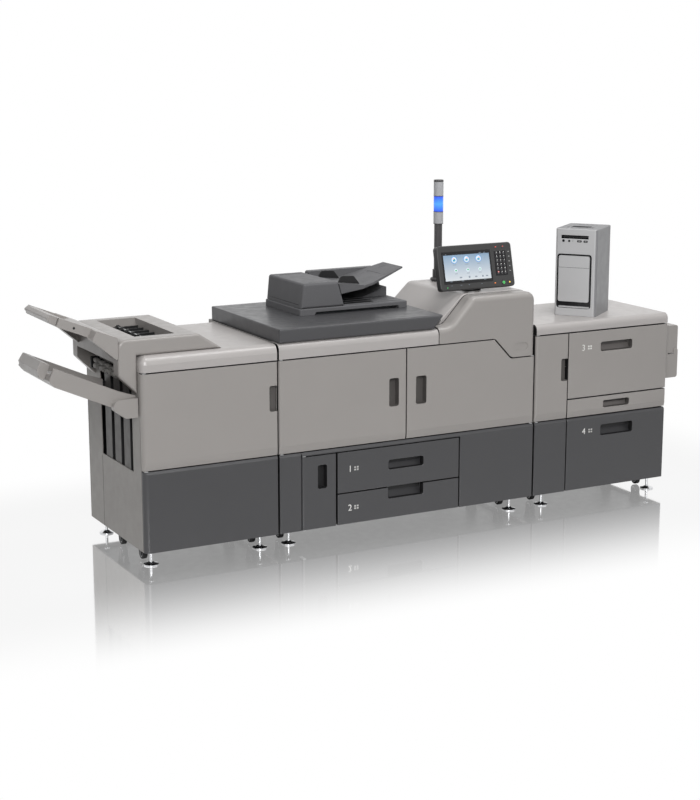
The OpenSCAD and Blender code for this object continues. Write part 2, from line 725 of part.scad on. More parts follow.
module scanner_table() {
  color(slate) difference() {
    soft_front([[table_x[0], strip_top_z + seat_gap, 4 * least_r], [table_x[1], strip_top_z + seat_gap, 4 * least_r],
      [table_x[1] + table_over, table_z, free_r], [table_x[0], table_z, free_r]],
      table_y[0], table_y[1], table_r, free_r);
    block([glass_x[0] - hair, glass_y[0] - hair, table_z - glass_t], [glass_x[1] + hair, glass_y[1] + hair, table_z + cut]);
  }
  color(slate) for (x = lift_x) {
    for (side = [-1, 1])
      let (xe = x + side * (knuckle_w / 2 + seat_gap + ear_t / 2))
        along_x(xe - ear_t / 2, xe + ear_t / 2) polygon(concat(
          [[lift_y - knuckle_r, table_z], [lift_y + knuckle_r, table_z]],
          arc([lift_y, table_z + lift_z], knuckle_r, 0, 180)));
    translate([x - knuckle_w / 2 - ear_t, lift_y, table_z + lift_z]) rotate([0, 90, 0])
      cylinder(r = lift_pin_r, h = knuckle_w + 2 * ear_t);
  }
}

module exposure_glass() {
  color("#8fa5a8") block([glass_x[0], glass_y[0], table_z - glass_t], [glass_x[1], glass_y[1], table_z]);
}

// What the doors close off: inner panels, toner, imaging units, fuser
inner_y = 200;
inner_t = 5;
fin_inner_y = 150;
bottle_r = 40;
bottle_l = 330;
bottle_z = 765;
bottle_pitch = 98;
bottles = 4;
bottle_from = 700;
bottle_front = 96;
bottle_neck = 6;
imaging_w = 84;
imaging_z = [560, 700];
imaging_d = 90;
belt_z = [478, 540];
fuser_span = [120, 430, 520, 700];
fuser = at(main_x0, fuser_span);
waste_bottle_span = [128, 262, 88.2, 360];
waste_bottle = at(main_x0, waste_bottle_span);
knob_shares = [0.3, 0.7];
knob_r = 15;
knob_l = 22;

function bottle_place(i) = main_x0 + bottle_from + i * bottle_pitch;

module inner_panels() {
  color(black) block([rail_x + rail_t + seam, fin_inner_y, shelf_z + plate_t * 3 + hair],
        [fin_x1 - sheet_t - plate_t - hair, fin_inner_y + inner_t, fin_head]);
  color(black) block([feed_x0 + plate_t + 2 * hair, fin_inner_y, shelf_z + plate_t * 3 + hair],
    [feed_wall[0] - plate_t - hair, fin_inner_y + inner_t, fin_head - seam - hair]);
  color("#3a5f8f") for (share = knob_shares)
    translate([fin_x1 - finisher_w / 2, fin_inner_y, band_z + (door_top_z - band_z) * share]) rotate([90, 0, 0])
      cylinder(r = knob_r, h = knob_l);
  color(dark_grey) difference() {
    block([main_x0 + sheet_t + plate_t + 2 * hair, inner_y, shelf_z + plate_t + hair],
          [main_x1 - sheet_t - plate_t - 2 * hair, inner_y + inner_t, fin_head]);
    for (i = [0:bottles - 1])
      translate([bottle_place(i), inner_y + inner_t + cut, bottle_z]) rotate([90, 0, 0])
        cylinder(r = bottle_r + seat_gap, h = inner_t + 2 * cut);
  }
}

module toner_and_waste_bottles() {
  tints = ["#1d1d1f", "#c9a21d", "#b03a78", "#2a7fa8"];
  for (i = [0:bottles - 1])
    color(tints[i]) translate([bottle_place(i), bottle_front + bottle_l, bottle_z]) rotate([90, 0, 0])
      rotate_extrude() polygon([[0, 0], [bottle_r - bottle_neck, 0], [bottle_r, bottle_neck],
        [bottle_r, bottle_l - bottle_neck], [bottle_r - bottle_neck, bottle_l], [0, bottle_l]]);
  color("#d9d4c6") along_z(waste_bottle[2], waste_bottle[3]) polygon(rounded_outline(
    box_corners(waste_bottle[0], waste_bottle[1], frame_y + post_d + seam, inner_y, pocket_r)));
}

module imaging_units() {
  for (i = [0:bottles - 1])
    color("#3b3b3d") {
      block([bottle_place(i) - imaging_w / 2, inner_y - imaging_d, imaging_z[0]],
            [bottle_place(i) + imaging_w / 2, inner_y - hair, imaging_z[1]]);
      translate([bottle_place(i), inner_y - imaging_d, (imaging_z[0] + imaging_z[1]) / 2]) rotate([90, 0, 0])
        cylinder(r = knob_r, h = knob_l);
    }
  color(dark_grey) block([bottle_place(0) - imaging_w / 2, inner_y - imaging_d, belt_z[0]],
    [bottle_place(bottles - 1) + imaging_w / 2, inner_y - hair, belt_z[1]]);
}

module fuser_unit() {
  color("#3f3f42") {
    block([fuser[0], inner_y - imaging_d, fuser[2]], [fuser[1], inner_y - hair, fuser[3]]);
    for (x = [fuser[0] + 2 * knob_r, fuser[1] - 2 * knob_r])
      translate([x, inner_y - imaging_d, (fuser[2] + fuser[3]) / 2]) rotate([90, 0, 0])
        cylinder(r = knob_r, h = knob_l);
  }
}

left_pocket_span = [540, 589, 578, 705];
right_pocket_span = [677, 731, 576, 703];
waste_pocket_span = [184, 229, 247, 354];
left_pocket = at(main_x0, left_pocket_span);
right_pocket = at(main_x0, right_pocket_span);
waste_pocket = at(main_x0, waste_pocket_span);

module main_left_door() {
  x1 = main_split_x - half_seam;
  color(light_grey) difference() {
    union() {
      front_slab(main_x0, x1, door_foot, door_head, hinge_in, free_r);
      pocket_case(left_pocket);
    }
    foot_slope(main_x0, x1, door_foot);
    hinge_bore(main_x0 + hinge_in, door_foot, door_head);
    pocket_cut(left_pocket);
  }
}

module main_right_door() {
  x0 = main_split_x + half_seam;
  head = cutout_z - half_seam;
  color(light_grey) difference() {
    union() {
      front_slab(x0, main_x1, door_foot, door_head, free_r, hinge_in);
      pocket_case(right_pocket);
    }
    along_y(-cut, door_t + cut) polygon(rounded_outline([
      [main_x1 + cut, head, least_r], [main_x1 + cut, door_head + cut, least_r],
      [cutout_x[0] - seam, door_head + cut, least_r], [cutout_x[0] - seam, door_head, cutout_r],
      [cutout_x[1] - seam, head, cutout_r]]));
    foot_slope(x0, main_x1, door_foot);
    hinge_bore(main_x1 - hinge_in, door_foot, head);
    pocket_cut(right_pocket);
  }
}

module waste_door() {
  color(dark_grey) difference() {
    union() {
      front_slab(waste_x[0], waste_x[1] - half_seam, cover_foot_z, waste_head, hinge_in, free_r);
      pocket_case(waste_pocket);
    }
    hinge_bore(waste_x[0] + hinge_in, cover_foot_z, waste_head);
    pocket_cut(waste_pocket);
  }
}

// Trays: box foot, height and length; pocket edges
box_1 = [226, 140, 480];
box_2 = [96, 96, 480];
pocket_1_span = [256.5, 436.5, 291, 335];
pocket_2_span = [254.5, 436.5, 157, 220];
tray_1_pocket = at(tray_x[0], pocket_1_span);
tray_2_pocket = at(tray_x[0], pocket_2_span);
shallow_d = 32;

module paper_tray_1() {
  color(dark_grey) difference() {
    union() {
      front_slab(tray_x[0], tray_x[1], tray_split_z + half_seam, waste_head);
      drawer_box(tray_x[0], tray_x[1], box_1);
      pocket_case(tray_1_pocket, shallow_d);
    }
    pocket_cut(tray_1_pocket, shallow_d);
  }
}

module paper_tray_2() {
  head = tray_split_z - half_seam;
  color(dark_grey) difference() {
    union() {
      front_slab(tray_x[0], tray_x[1], cover_foot_z, head);
      drawer_box(tray_x[0], tray_x[1], box_2);
      intersection() {
        pocket_case(tray_2_pocket, shallow_d);
        block([tray_x[0], 0, cover_foot_z], [tray_x[1], shallow_d * 2, head]);
      }
    }
    pocket_cut(tray_2_pocket, shallow_d);
  }
}

// Document feeder on its hinge behind the glass
adf_from = 237;
adf_x0 = main_x0 + adf_from;
adf_y0 = 270;
adf_rest = 0.6;
adf_base_h = 30;
adf_arch = [75, 505, 13];
adf_wall_d = 40;
adf_wall = [228.5, 590];
adf_wall_mid = [224.5, 80];
adf_wall_top = [202, 560, 148];
adf_r = 10;
adf_z0 = table_z + adf_rest;
feed_table_x = [223.5, 340, 210];
feed_table_z = [80, 128, 113];
feed_table_y = 30;
cover_w = 226;
cover_lean = [12, 34];
cover_shell = 5;
guide_wedge = [400, 540, 42];

module adf_base() {
  x1 = adf_x0 + adf_w;
  y1 = adf_y0 + adf_d;
  color(slate) difference() {
    union() {
      translate([0, 0, adf_z0]) soft_prism(box_corners(adf_x0, x1, adf_y0, y1, adf_r), adf_base_h, free_r);
      translate([adf_x0, 0, adf_z0]) along_y(y1 - adf_wall_d, y1) polygon(rounded_outline([
        [adf_wall[0], adf_base_h - cut, least_r], [adf_wall[1], adf_base_h - cut, least_r],
        [adf_wall_top[1], adf_wall_top[2], adf_r], [adf_wall_top[0], adf_wall_top[2], adf_r],
        [adf_wall_mid[0], adf_wall_mid[1], adf_r]]));
      translate([adf_x0, 0, adf_z0]) along_y(adf_y0 + feed_table_y, y1 - adf_wall_d + cut) polygon(rounded_outline([
        [feed_table_x[0], feed_table_z[0], least_r], [feed_table_x[1], feed_table_z[0] + original_drop, least_r],
        [feed_table_x[1], feed_table_z[2], 4 * least_r], [feed_table_x[2], feed_table_z[1], 4 * least_r]]));
      translate([original_hinge[0], 0, original_hinge[1]]) along_y(original_y[0] - seat_gap - ear_t, original_y[0] - seat_gap)
        polygon(concat([[-original_drop, -original_t / 2]], arc([0, 0], original_t / 2, -90, 90), [[-original_drop, original_t / 2]]));
      for (y = [original_y[0] - seat_gap - ear_t, original_y[1] - pin_l])
        translate([original_hinge[0], y + pin_l + ear_t, original_hinge[1]]) rotate([90, 0, 0])
          cylinder(r = lug_pin_r, h = pin_l + ear_t);
      translate([adf_x0, 0, adf_z0 + adf_base_h]) along_y(adf_y0 + adf_d / 2, y1 - adf_wall_d + cut)
        polygon([[guide_wedge[0], -cut], [guide_wedge[1], -cut], [guide_wedge[1], guide_wedge[2]]]);
      for (x = lift_x)
        along_x(x - knuckle_w / 2, x + knuckle_w / 2) polygon(concat(
          [[y1 - cut, table_z + lift_z - knuckle_r]], arc([lift_y, table_z + lift_z], knuckle_r, -90, 90),
          [[y1 - cut, table_z + lift_z + knuckle_r]]));
    }
    along_y(adf_y0 - cut, adf_y0 + adf_wall_d) polygon(rounded_outline(
      box_corners(adf_x0 + adf_arch[0], adf_x0 + adf_arch[1], adf_z0 - adf_arch[2], adf_z0 + adf_arch[2], adf_r)));
    for (x = lift_x)
      translate([x - knuckle_w / 2 - cut, lift_y, table_z + lift_z]) rotate([0, 90, 0])
        cylinder(r = lift_pin_r + run_gap, h = knuckle_w + 2 * cut);
  }
  color(black) for (y = [adf_y0 + feed_in - bearing_t, adf_y0 + adf_d - adf_wall_d - bearing_t - hair])
    difference() {
      block([roller_x - feed_r, y, adf_z0 + adf_base_h + hair], [roller_x + feed_r, y + bearing_t, roller_z + feed_r]);
      translate([roller_x, y + bearing_t + cut, roller_z]) rotate([90, 0, 0])
        cylinder(r = journal_r + run_gap, h = bearing_t + 2 * cut);
    }
}

// Feed cover over the left end, opening about its lower left edge
original_drop = 16;
feed_in = 40;
roller_at = [176, 112];
roller_x = adf_x0 + roller_at[0];
roller_z = table_z + roller_at[1];
lug_pin_r = 3;
cover_foot_in = 7;
feed_r = 12;

function cover_profile(inset) = [
  [adf_x0 + cover_foot_in + inset, adf_z0 + adf_base_h + seat_gap, 4 * least_r],
  [adf_x0 + cover_w - inset, adf_z0 + adf_base_h + seat_gap, 4 * least_r],
  [adf_x0 + cover_w - cover_lean[1] - inset, adf_z0 + adf_h - inset, feed_r],
  [adf_x0 + cover_foot_in + cover_lean[0] + inset, adf_z0 + adf_h - inset, feed_r]];

module adf_feed_cover() {
  y1 = adf_y0 + adf_d - 2 * cut;
  color(slate) difference() {
    soft_front(cover_profile(0), adf_y0 + least_r, y1, feed_r, least_r);
    along_y(adf_y0 + cover_shell + feed_r / 2, y1 - cover_shell) polygon([for (p = cover_profile(cover_shell))
      [p[0], p[1] - (p[1] < roller_z ? cut + seat_gap : 0)]]);
    block([adf_x0 + cover_w / 2, adf_y0 + feed_in, adf_z0 + feed_table_z[0]],
          [adf_x0 + cover_w + cut, y1 - adf_wall_d, adf_z0 + adf_h - 2 * cover_shell]);
  }
}

module adf_feed_roller() {
  y0 = adf_y0 + feed_in + seat_gap;
  y1 = adf_y0 + adf_d - adf_wall_d - bearing_t - hair - seat_gap;
  color("#cfcac2") {
    translate([roller_x, y1 + bearing_t, roller_z]) rotate([90, 0, 0]) cylinder(r = journal_r, h = y1 - y0 + 2 * bearing_t);
    translate([roller_x, (y0 + y1) / 2 + exit_roll_l, roller_z]) rotate([90, 0, 0]) cylinder(r = feed_r, h = 2 * exit_roll_l);
  }
}

// Original tray, tilting about its left edge
original_l = 262;
original_t = 11;
original_from = 104;
original_hinge = [adf_x0 + feed_table_x[1] + original_t / 2 + 2 * hair, adf_z0 + original_from];
original_in = [36, 2];
original_y = [adf_y0 + original_in[0], adf_y0 + adf_d - adf_wall_d - original_in[1]];
groove_shares = [0.5, 0.55];
original_taper = [40, 100];
module original_tray() {
  color(slate) translate([original_hinge[0], 0, original_hinge[1]]) rotate([0, -original_slope, 0]) difference() {
    union() {
      along_y(original_y[0], original_y[1]) polygon(rounded_outline([
        [0, -original_t / 2, least_r], [original_l, -original_t / 4, 4 * least_r],
        [original_l, original_t / 2, 4 * least_r], [0, original_t / 2, least_r]]));
      translate([0, original_y[1], 0]) rotate([90, 0, 0]) cylinder(r = original_t / 2, h = original_y[1] - original_y[0]);
    }
    along_z(-original_t, original_t) polygon([[original_taper[0], original_y[0] - cut],
      [original_l + cut, original_y[0] - cut], [original_l + cut, original_y[0] + original_taper[1]]]);
    block([original_l * groove_shares[0], original_y[0] + original_taper[1], original_t / 2 - least_r * 2],
          [original_l * groove_shares[1], original_y[1] - feed_in, original_t / 2 + cut]);
    for (y = [original_y[0] + pin_l + hair, original_y[1] + cut])
      translate([0, y, 0]) rotate([90, 0, 0]) cylinder(r = lug_pin_r + run_gap, h = pin_l + 2 * cut);
  }
}

fence_t = 6;
fence_h = 30;
fence_span = [226, 336];
fence_x = at(adf_x0, fence_span);
fence_in = [66, 58];
fence_y = [adf_y0 + fence_in[0], adf_y0 + adf_d - adf_wall_d - fence_in[1]];
fence_shares = [0.9, 0.8];
module side_fence(y) {
  top = adf_z0 + feed_table_z[1];
  color(black) along_y(y, y + fence_t) polygon(rounded_outline([
    [fence_x[0], top + fence_foot(0), least_r], [fence_x[1], top + fence_foot(1), least_r],
    [fence_x[1] - fence_h, top + fence_h * fence_shares[1], fence_h / 2],
    [fence_x[0] + fence_h / 2, top + fence_h * fence_shares[0], fence_h / 2]]));
}

// Height of the feed table's surface under the two ends of a fence, from its left end
function fence_foot(k) = seat_gap - (feed_table_z[1] - feed_table_z[2])
  * (fence_span[k] - feed_table_x[2]) / (feed_table_x[1] - feed_table_x[2]);

module front_fence() {
  side_fence(fence_y[0]);
}

module rear_fence() {
  side_fence(fence_y[1]);
}

// Operation panel: local origin on its tilt axis, x to the right, z up along its face
panel_from = [1064, 158, 43];
panel_c = [main_x0 + panel_from[0], panel_from[1], hump_z + panel_from[2]];
panel_foot = 40;
panel_back = 14;
panel_r = 16;
panel_edge = 5;
lug_r = 10;
lug_w = 50;
ear_w = 8;
ear_back = 20;
neck_base_t = 5;
screen_in = [30, 38];
screen_size = [245, 130];
screen_t = 3;
pad_in = 98;
pad_size = [64, 112];
pad_foot = 34;
pad_t = 2.2;
pad_d = 4.5;
key_r = 5;
key_pitch = 19;
key_cols = 3;
key_rows = 6;
key_rise = 3.2;
row_share = 0.95;
start_at = [36, 20];
stop_at = [68, 20];
start_r = 9;
stop_r = 7.5;
key_d = 7;
key_bottom = 1.4;
key_proud = 1.8;

module on_panel() {
  translate(panel_c) rotate([-panel_lean, 0, 0]) children();
}

function panel_face() = -panel_back - panel_t;

module panel_bracket() {
  color(black) {
    block([panel_c[0] - lug_w / 2 - 2 * ear_w, panel_c[1] - lug_r, hump_z + hair],
          [panel_c[0] + lug_w / 2 + 2 * ear_w, panel_c[1] + 2 * ear_back, hump_z + hair + neck_base_t]);
    for (side = [-1, 1])
      let (x = panel_c[0] + side * (lug_w / 2 + seat_gap + ear_w / 2))
        along_x(x - ear_w / 2, x + ear_w / 2) polygon(concat(
          [[panel_c[1] - lug_r, hump_z + neck_base_t], [panel_c[1] + ear_back, hump_z + neck_base_t]],
          arc([panel_c[1], panel_c[2]], lug_r, 0, 180)));
    translate([panel_c[0] - lug_w / 2 - ear_w, panel_c[1], panel_c[2]]) rotate([0, 90, 0])
      cylinder(r = pin_r, h = lug_w + 2 * ear_w);
  }
}

module control_panel() {
  head = panel_h - panel_foot;
  face = panel_face();
  color("#3a3a3b") on_panel() difference() {
    union() {
      soft_front(box_corners(-panel_w / 2, panel_w / 2, -panel_foot, head, panel_r),
        face, -panel_back, panel_edge, panel_edge);
      along_x(-lug_w / 2, lug_w / 2) polygon(concat(
        [[-panel_back - cut, -lug_r]], arc([0, 0], lug_r, -90, 90), [[-panel_back - cut, lug_r]]));
    }
    translate([-lug_w / 2 - cut, 0, 0]) rotate([0, 90, 0])
      cylinder(r = pin_r + run_gap, h = lug_w + 2 * cut);
    block([-panel_w / 2 + screen_in[0] - hair, face - cut, -panel_foot + screen_in[1] - hair],
          [-panel_w / 2 + screen_in[0] + screen_size[0] + hair, face + screen_t + hair,
           -panel_foot + screen_in[1] + screen_size[1] + hair]);
    block([panel_w / 2 - pad_in - seat_gap, face - cut, -panel_foot + pad_foot + key_pitch - seat_gap],
          [panel_w / 2 - pad_in + pad_size[0] + seat_gap, face + pad_d,
           -panel_foot + pad_foot + key_pitch + pad_size[1] + seat_gap]);
    for (key = [[start_at, start_r], [stop_at, stop_r]])
      translate([panel_w / 2 - pad_in + key[0][0], face + key_d, -panel_foot + key[0][1]]) rotate([90, 0, 0])
        cylinder(r = key[1] + seat_gap, h = key_d + cut);
  }
}

module touch_screen() {
  color("#b8d4ea") on_panel() block(
    [-panel_w / 2 + screen_in[0], panel_face(), -panel_foot + screen_in[1]],
    [-panel_w / 2 + screen_in[0] + screen_size[0], panel_face() + screen_t, -panel_foot + screen_in[1] + screen_size[1]]);
}

module number_keys() {
  x0 = panel_w / 2 - pad_in;
  z0 = -panel_foot + pad_foot + key_pitch;
  y0 = panel_face() + pad_d - key_bottom - pad_t;
  color("#c8c6c2") on_panel() {
    block([x0, y0, z0], [x0 + pad_size[0], y0 + pad_t, z0 + pad_size[1]]);
    for (i = [0:key_cols - 1], j = [0:key_rows - 1])
      translate([x0 + pad_size[0] / 2 + (i - (key_cols - 1) / 2) * key_pitch, y0 + pad_t / 2,
                 z0 + pad_size[1] / 2 + (j - (key_rows - 1) / 2) * key_pitch * row_share])
        rotate([90, 0, 0]) cylinder(r = key_r, h = pad_t / 2 + key_rise);
  }
}

module round_key(at, r) {
  on_panel() translate([panel_w / 2 - pad_in + at[0], panel_face() + key_d - key_bottom, -panel_foot + at[1]])
    rotate([90, 0, 0]) cylinder(r = r, h = key_d - key_bottom + key_proud);
}

module start_key() {
  color("#2f9a55") round_key(start_at, start_r);
}

module stop_key() {
  color("#d98c8c") round_key(stop_at, stop_r);
}

// Status light
light_from = 1086;
light_at = [main_x0 + light_from, 500];
light_base = [30, 8];
light_collar = [25, 55];
light_pole_r = 19;
lens_r = 23;
lens_foot_z = 1314;
lamp_z = [1370, 1444];
light_cap = 8;
lens_groove = 1.5;

// A turned body from heights and radii
module turned(z, steps) {
  translate([light_at[0], light_at[1], z]) rotate_extrude() polygon(concat([[0, 0]],
    [for (s = steps) [s[0], s[1]]], [[0, steps[len(steps) - 1][1]]]));
}

module status_pole() {
  color(dark_grey) turned(hump_z + hair, [[light_base[0], 0], [light_base[0], light_base[1]],
    [light_collar[0], light_base[1] + lens_groove], [light_collar[0], light_collar[1]],
    [light_pole_r, light_collar[1] + lens_groove], [light_pole_r, lens_foot_z - hump_z - 2 * hair]]);
  color(black) turned(light_top_z - light_cap, [[lens_r, 0], [lens_r, light_cap - lens_groove],
    [lens_r - lens_groove, light_cap]]);
}

function lens_steps(h) = [[lens_r - lens_groove, 0], [lens_r, lens_groove], [lens_r, h - lens_groove],
  [lens_r - lens_groove, h]];

module status_lens() {
  color("#dfe6ea") turned(lens_foot_z, lens_steps(lamp_z[0] - lens_foot_z - hair));
  color("#dfe6ea") turned(lamp_z[1] + hair, lens_steps(light_top_z - light_cap - lamp_z[1] - 2 * hair));
}

module status_lamp() {
  color("#2a63e8") turned(lamp_z[0], lens_steps(lamp_z[1] - lamp_z[0]));
}

// Large feeder
feeder_line_z = 830;
feeder_r = 25;
feed_door_x1 = feed_x0 + feeder_door_w;
feed_tray_x = [feed_door_x1 + seam, feed_x1];
transport_z = [band_z, 512];
tray_3_foot = 514.5;
feed_notch = [feed_door_x1 - notch_w, feed_door_x1 + cut, 604, 710];
box_3 = [528, 270, 480];
box_t = [444, 54, 400];
box_4 = [96, 284, 480];
pocket_3_span = [182, 365, 727, 771];
pocket_t_span = [204, 357, 453, 488];
pocket_4_span = [194, 382, 318, 370];
tray_3_pocket = at(feed_tray_x[0], pocket_3_span);
transport_pocket = at(feed_tray_x[0], pocket_t_span);
tray_4_pocket = at(feed_tray_x[0], pocket_4_span);
feed_wall = [feed_tray_x[0] - half_seam, feed_x1 - sheet_t - hair - plate_t];

module feeder_frame() {
  x1 = feed_x1 - sheet_t - hair;
  color(black) unit_frame(feed_x0 + hair, x1, feeder_d, feeder_line_z + half_seam - hair, true, false);
  color(black) block([feed_wall[0] - plate_t, frame_y + post_d + hair, frame_floor_z + 2 * plate_t + hair],
    [feed_wall[0], feeder_d - frame_back - plate_t - hair, shelf_z - hair]);
  color(black) block([feed_wall[0] - plate_t, frame_y + post_d + hair, shelf_z + 3 * plate_t + hair],
    [feed_wall[0], feeder_d - frame_back - plate_t - hair, feeder_line_z - half_seam]);
  color(black) unit_casters(2);
}

module feeder_top_cover() {
  color(pale_grey) along_x(feed_x0, feed_x1) polygon(concat(
    [[0, feeder_line_z + half_seam], [feeder_d, feeder_line_z + half_seam], [feeder_d, feeder_top_z]],
    arc([feeder_r, feeder_top_z - feeder_r], feeder_r, 90, 180)));
}

module feeder_door() {
  head = feeder_line_z - half_seam;
  color(light_grey) difference() {
    front_slab(feed_x0, feed_door_x1, door_foot, head, hinge_in, free_r);
    foot_slope(feed_x0, feed_door_x1, door_foot);
    hinge_bore(feed_x0 + hinge_in, door_foot, head);
    pocket_cut(feed_notch, notch_d);
  }
}

module paper_tray_3() {
  color(light_grey) difference() {
    union() {
      front_slab(feed_tray_x[0], feed_tray_x[1], tray_3_foot, feeder_line_z - half_seam);
      drawer_box(feed_tray_x[0], feed_tray_x[1], box_3);
      pocket_case(tray_3_pocket, shallow_d);
    }
    pocket_cut(tray_3_pocket, shallow_d);
  }
}

module transport_drawer() {
  z0 = transport_z[0] + half_seam;
  color(light_grey) difference() {
    union() {
      front_slab(feed_tray_x[0], feed_tray_x[1], z0, transport_z[1] - half_seam);
      drawer_box(feed_tray_x[0], feed_tray_x[1], box_t);
      pocket_case(transport_pocket, shallow_d);
    }
    along_x(feed_tray_x[0] - cut, feed_tray_x[1] + cut) polygon([[-cut, z0 - cut], [slope_in, z0 - cut],
      [slope_in, z0], [0, transport_pocket[2] - pocket_wall], [-cut, transport_pocket[2] - pocket_wall]]);
    pocket_cut(transport_pocket, shallow_d);
  }
}

module paper_tray_4() {
  head = transport_z[0] - half_seam;
  color(dark_grey) difference() {
    union() {
      front_slab(feed_tray_x[0], feed_tray_x[1], cover_foot_z, head);
      drawer_box(feed_tray_x[0], feed_tray_x[1], box_4);
      pocket_case(tray_4_pocket, shallow_d);
    }
    head_chamfer(feed_tray_x[0], feed_tray_x[1], head);
    pocket_cut(tray_4_pocket, shallow_d);
  }
}

// Side feed box with its fold-out tray
side_y = [60, 400];
side_z = [545, 803];
side_step = 57;
side_line_z = 663;
side_r = 12;
side_ear = 5;
side_pin_r = 3;
side_pin_l = 14;
side_axis = [feed_x1 + side_feed_w - side_r, side_line_z + half_seam + side_r];
slot_z = [712, 728];
slot_d = 34;
slot_in = 30;

module side_feed_housing() {
  x0 = feed_x1 + seat_gap;
  x1 = feed_x1 + side_feed_w;
  color(light_grey) difference() {
    union() {
      along_y(side_y[0], side_y[1]) polygon(rounded_outline([
        [x0, side_z[0], least_r], [x1, side_z[0], side_r], [x1, side_line_z - half_seam, least_r],
        [x0 + side_step, side_line_z - half_seam, least_r], [x0 + side_step, side_z[1], side_r],
        [x0, side_z[1], least_r]]));
      for (y = [side_y[0], side_y[1] - side_ear])
        along_y(y, y + side_ear) polygon(concat(
          [[side_axis[0] - side_r, side_line_z - half_seam - cut], [side_axis[0] + side_r, side_line_z - half_seam - cut]],
          arc(side_axis, side_r, 0, 180)));
      for (y = [side_y[0], side_y[1] - side_ear - side_pin_l])
        translate([side_axis[0], y + side_ear + side_pin_l, side_axis[1]]) rotate([90, 0, 0])
          cylinder(r = side_pin_r, h = side_ear + side_pin_l);
    }
    block([x0 + side_step - slot_d, side_y[0] + slot_in, slot_z[0]],
          [x0 + side_step + cut, side_y[1] - slot_in, slot_z[1]]);
  }
}

module side_feed_tray() {
  x0 = feed_x1 + side_step + seat_gap + 2 * least_r;
  x1 = feed_x1 + side_feed_w;
  z0 = side_axis[1] - side_r;
  color(light_grey) difference() {
    along_y(side_y[0] + side_ear + seat_gap, side_y[1] - side_ear - seat_gap) polygon(rounded_outline([
      [x0, z0, side_r], [x1, z0, side_r], [x1, side_z[1], side_r], [x0, side_z[1], 2 * least_r]]));
    for (y = [side_y[0] + side_ear + side_pin_l + seam, side_y[1] - side_ear + cut])
      translate([side_axis[0], y, side_axis[1]]) rotate([90, 0, 0])
        cylinder(r = side_pin_r + run_gap, h = side_pin_l + seam + cut);
  }
}

// Print server: local origin at its front right foot, x to the right, y to the back
server_from = 371;
server_at = [feed_x0 + server_from, 59];
server_r = 14;
server_edge = 5;
drive_slot = [-175, -43, 367, 383];
drive_slot_d = 20;
server_recess = [-193, -25, 36, 294];
server_recess_d = 11;
server_leaf = [-186, -35, 67, 286];
server_leaf_t = 7;
server_hinge = [-182, 4.2];
server_rod_r = 1.5;
button_at = [-165, 356];
button_r = 6;
button_d = 8;
button_proud = 1.6;
button_under = 2;
top_dish = [-150, -60, 60, 120, 4];

module on_feeder() {
  translate([server_at[0], server_at[1], feeder_top_z + seat_gap]) rotate([0, 0, server_turn]) children();
}

module server_case() {
  color(silver) on_feeder() difference() {
    soft_prism([[-server_w, 0, server_r], [0, 0, server_r], [0, server_d, server_r], [-server_w, server_d, server_r]],
      server_h, server_edge);
    along_y(-cut, server_recess_d) polygon(rounded_outline(
      box_corners(server_recess[0], server_recess[1], server_recess[2], server_recess[3], server_r)));
    block([drive_slot[0], -cut, drive_slot[2]], [drive_slot[1], drive_slot_d, drive_slot[3]]);
    translate([button_at[0], button_d, button_at[1]]) rotate([90, 0, 0])
      cylinder(r = button_r + seat_gap, h = button_d + cut);
    block([top_dish[0], top_dish[2], server_h - top_dish[4]], [top_dish[1], top_dish[3], server_h + cut]);
  }
  color(black) on_feeder() translate([server_hinge[0], server_hinge[1], server_recess[2] + hair])
    cylinder(r = server_rod_r, h = server_recess[3] - server_recess[2] - 2 * hair);
}

module server_door() {
  y0 = server_hinge[1] - server_leaf_t / 2;
  color("#bdbebf") on_feeder() difference() {
    along_y(y0, y0 + server_leaf_t) polygon(rounded_outline(
      box_corners(server_leaf[0], server_leaf[1], server_leaf[2], server_leaf[3], server_r - server_edge)));
    translate([server_hinge[0], server_hinge[1], server_leaf[2] - cut])
      cylinder(r = server_rod_r + run_gap, h = server_leaf[3] - server_leaf[2] + 2 * cut);
  }
}

module server_power_button() {
  color(black) on_feeder() translate([button_at[0], button_d - button_under, button_at[1]]) rotate([90, 0, 0])
    cylinder(r = button_r, h = button_d - button_under + button_proud);
}

// Dark panels that stay shut below the band line
rib_in = [13, 33];
module fixed_panel(x0, x1, r0, r1, two_ribs) {
  difference() {
    front_slab(x0, x1, cover_foot_z, dark_top, r0, r1);
    head_chamfer(x0, x1, dark_top);
  }
  for (x = two_ribs ? [x0 + rib_in[0], x1 - rib_in[1]] : [x0 + rib_in[0]])
    block([x, door_t - cut, frame_floor_z], [x + rib_in[1] - rib_in[0], frame_y - hair, shelf_z]);
}

module lower_front_panels() {
  color(dark_grey) {
    fixed_panel(fin_x0, fin_x1, finisher_corner_r, free_r, true);
    fixed_panel(main_x0, waste_x[0] - half_seam, free_r, free_r, false);
    difference() {
      union() {
        front_slab(tray_x[1] + seam, main_x1, cover_foot_z, dark_top);
        front_slab(waste_x[0], tray_x[1] + 2 * seam, band_foot, dark_top, free_r, least_r);
        block([main_x1 - rib_in[1], door_t - cut, frame_floor_z], [main_x1 - rib_in[0], frame_y - hair, shelf_z]);
      }
      head_chamfer(waste_x[0], main_x1, dark_top);
    }
    fixed_panel(feed_x0, feed_door_x1, free_r, free_r, false);
  }
}

